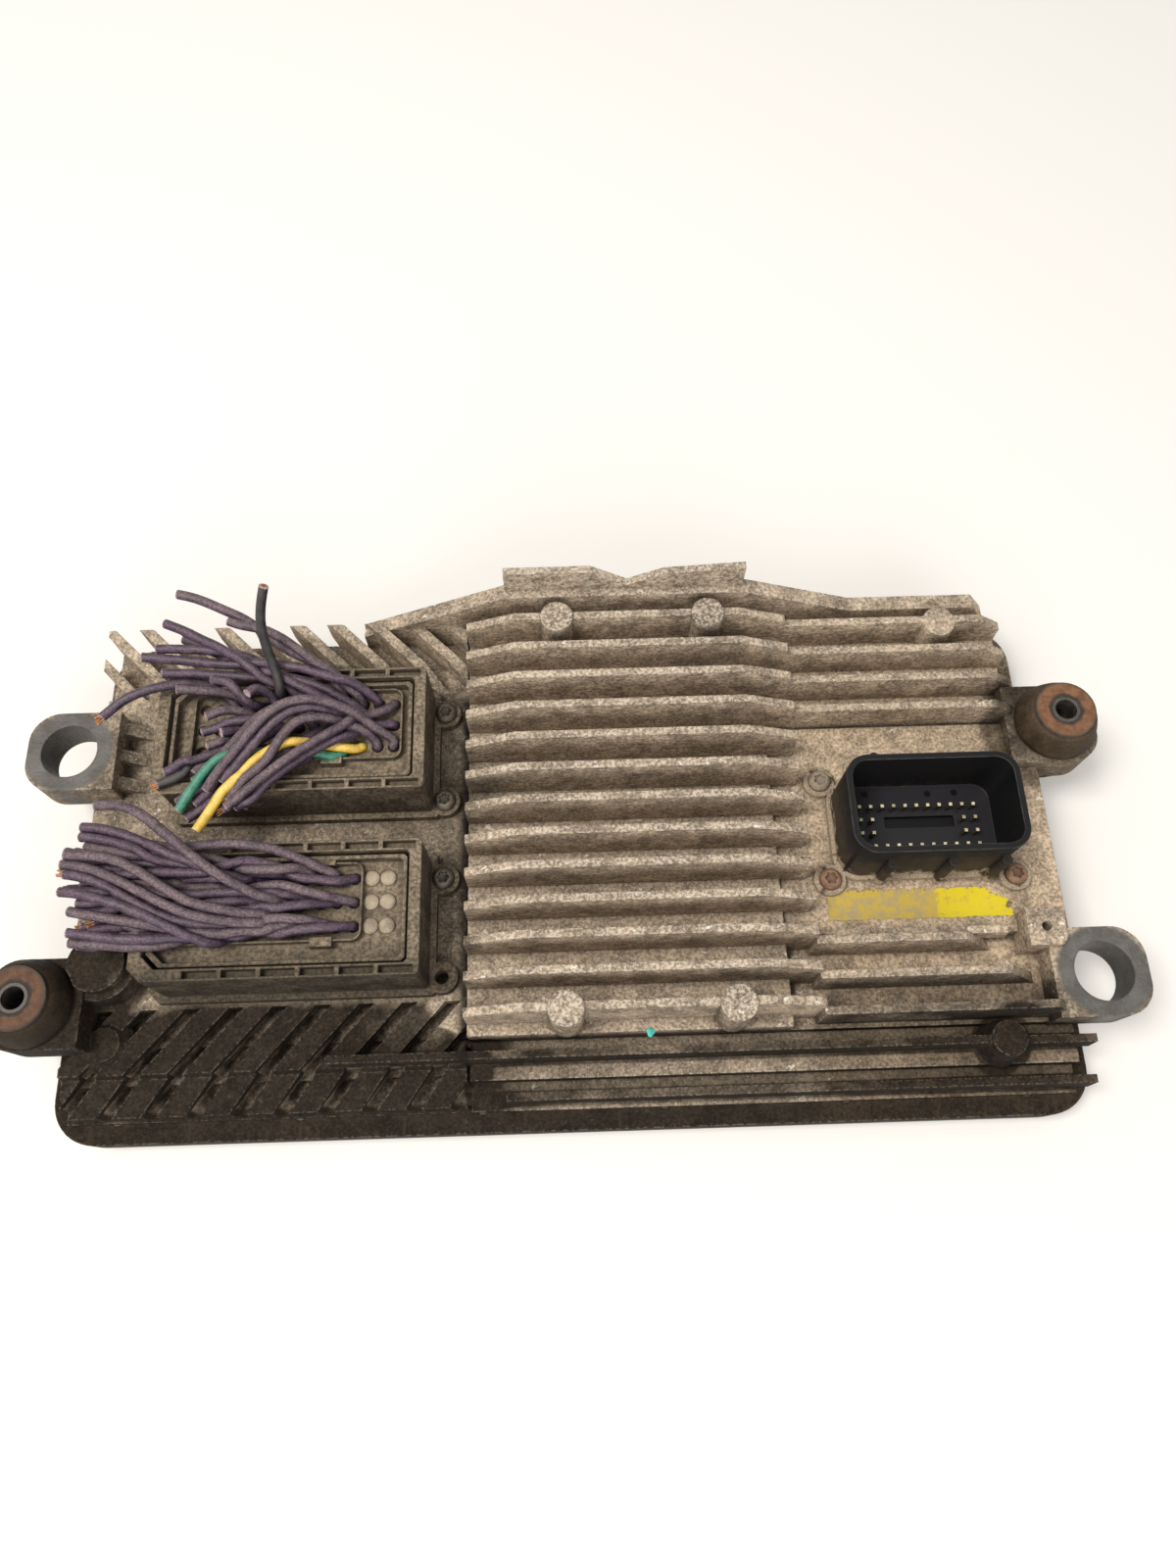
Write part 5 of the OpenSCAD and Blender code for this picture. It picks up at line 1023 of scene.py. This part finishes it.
# finishes of the parts that keep their own mesh
nodeFinish = {
    "housing": "castAluminium", "base_cover": "coverAluminium", "cover_gasket": "sealRubber",
    "cover_screws": "zincSteel", "circuit_board": "boardLaminate", "board_screws": "zincSteel",
    "processor_chip": "chipResin", "memory_chips": "chipResin", "power_transistors": "chipResin",
    "crystal_can": "canMetal", "capacitors": "capacitorSleeve", "coil_cores": "ferrite",
    "coil_windings": "copper", "pin_header": "headerPlastic", "header_pins": "pinGoldShadeAndGlint",
    "header_seal": "sealRubber", "left_sleeve": "sleeveSteel", "right_sleeve": "sleeveSteel",
    "isolator_washers": "washerSteel",
}
for level in ("upper", "lower"):
    nodeFinish.update({level + "_socket": "socketPlastic", level + "_socket_pins": "contactGold",
                       level + "_socket_seal": "sealRubber", level + "_plug": "socketPlastic",
                       level + "_terminals": "contactGold"})
for nodeName, finishName in nodeFinish.items():
    cadNodes[nodeName].data.materials.clear()
    cadNodes[nodeName].data.materials.append(finishes[finishName])
print("carried-over parts finished:", len(nodeFinish))

# pale floor and soft studio light
stageKit = {"floor": 4.0, "drop": 0.0003, "floorColour": (0.80, 0.79, 0.77), "sky": (1.0, 0.98, 0.95),
            "skyStrength": 0.60,
            "lamps": {"keyLamp": {"place": (-0.55, -0.12, 1.30), "size": 0.45, "power": 15.0,
                                  "colour": (1.0, 0.95, 0.88)},
                      "fillLamp": {"place": (0.25, -1.25, 0.95), "size": 1.0, "power": 10.0,
                                   "colour": (1.0, 0.96, 0.91)}}}


def makeStage(kit):
    bm = bmesh.new()
    bmesh.ops.create_grid(bm, x_segments=8, y_segments=8, size=kit["floor"] / 2)
    mesh = bpy.data.meshes.new("paleFloor")
    bm.to_mesh(mesh)
    bm.free()
    mat, tree, shader = newMaterial("paleFloor")
    fill(tree, shader, {"Base Color": rgba(kit["floorColour"]), "Roughness": 0.9})
    mesh.materials.append(mat)
    floor = bpy.data.objects.new("paleFloor", mesh)
    floor.location.z = -kit["drop"]
    bpy.context.collection.objects.link(floor)
    world = bpy.data.worlds.new("studio")
    world.use_nodes = True
    fill(world.node_tree, world.node_tree.nodes["Background"], {0: rgba(kit["sky"]), 1: kit["skyStrength"]})
    bpy.context.scene.world = world
    for name, lamp in kit["lamps"].items():
        light = bpy.data.lights.new(name, "AREA")
        light.size, light.energy, light.color = lamp["size"], lamp["power"], lamp["colour"]
        holder = bpy.data.objects.new(name, light)
        bpy.context.collection.objects.link(holder)
        holder.location = lamp["place"]
        holder.rotation_euler = (-Vector(lamp["place"])).to_track_quat("-Z", "Y").to_euler()
    bpy.context.scene.view_settings.view_transform = "Standard"


makeStage(stageKit)
print("stage lit")
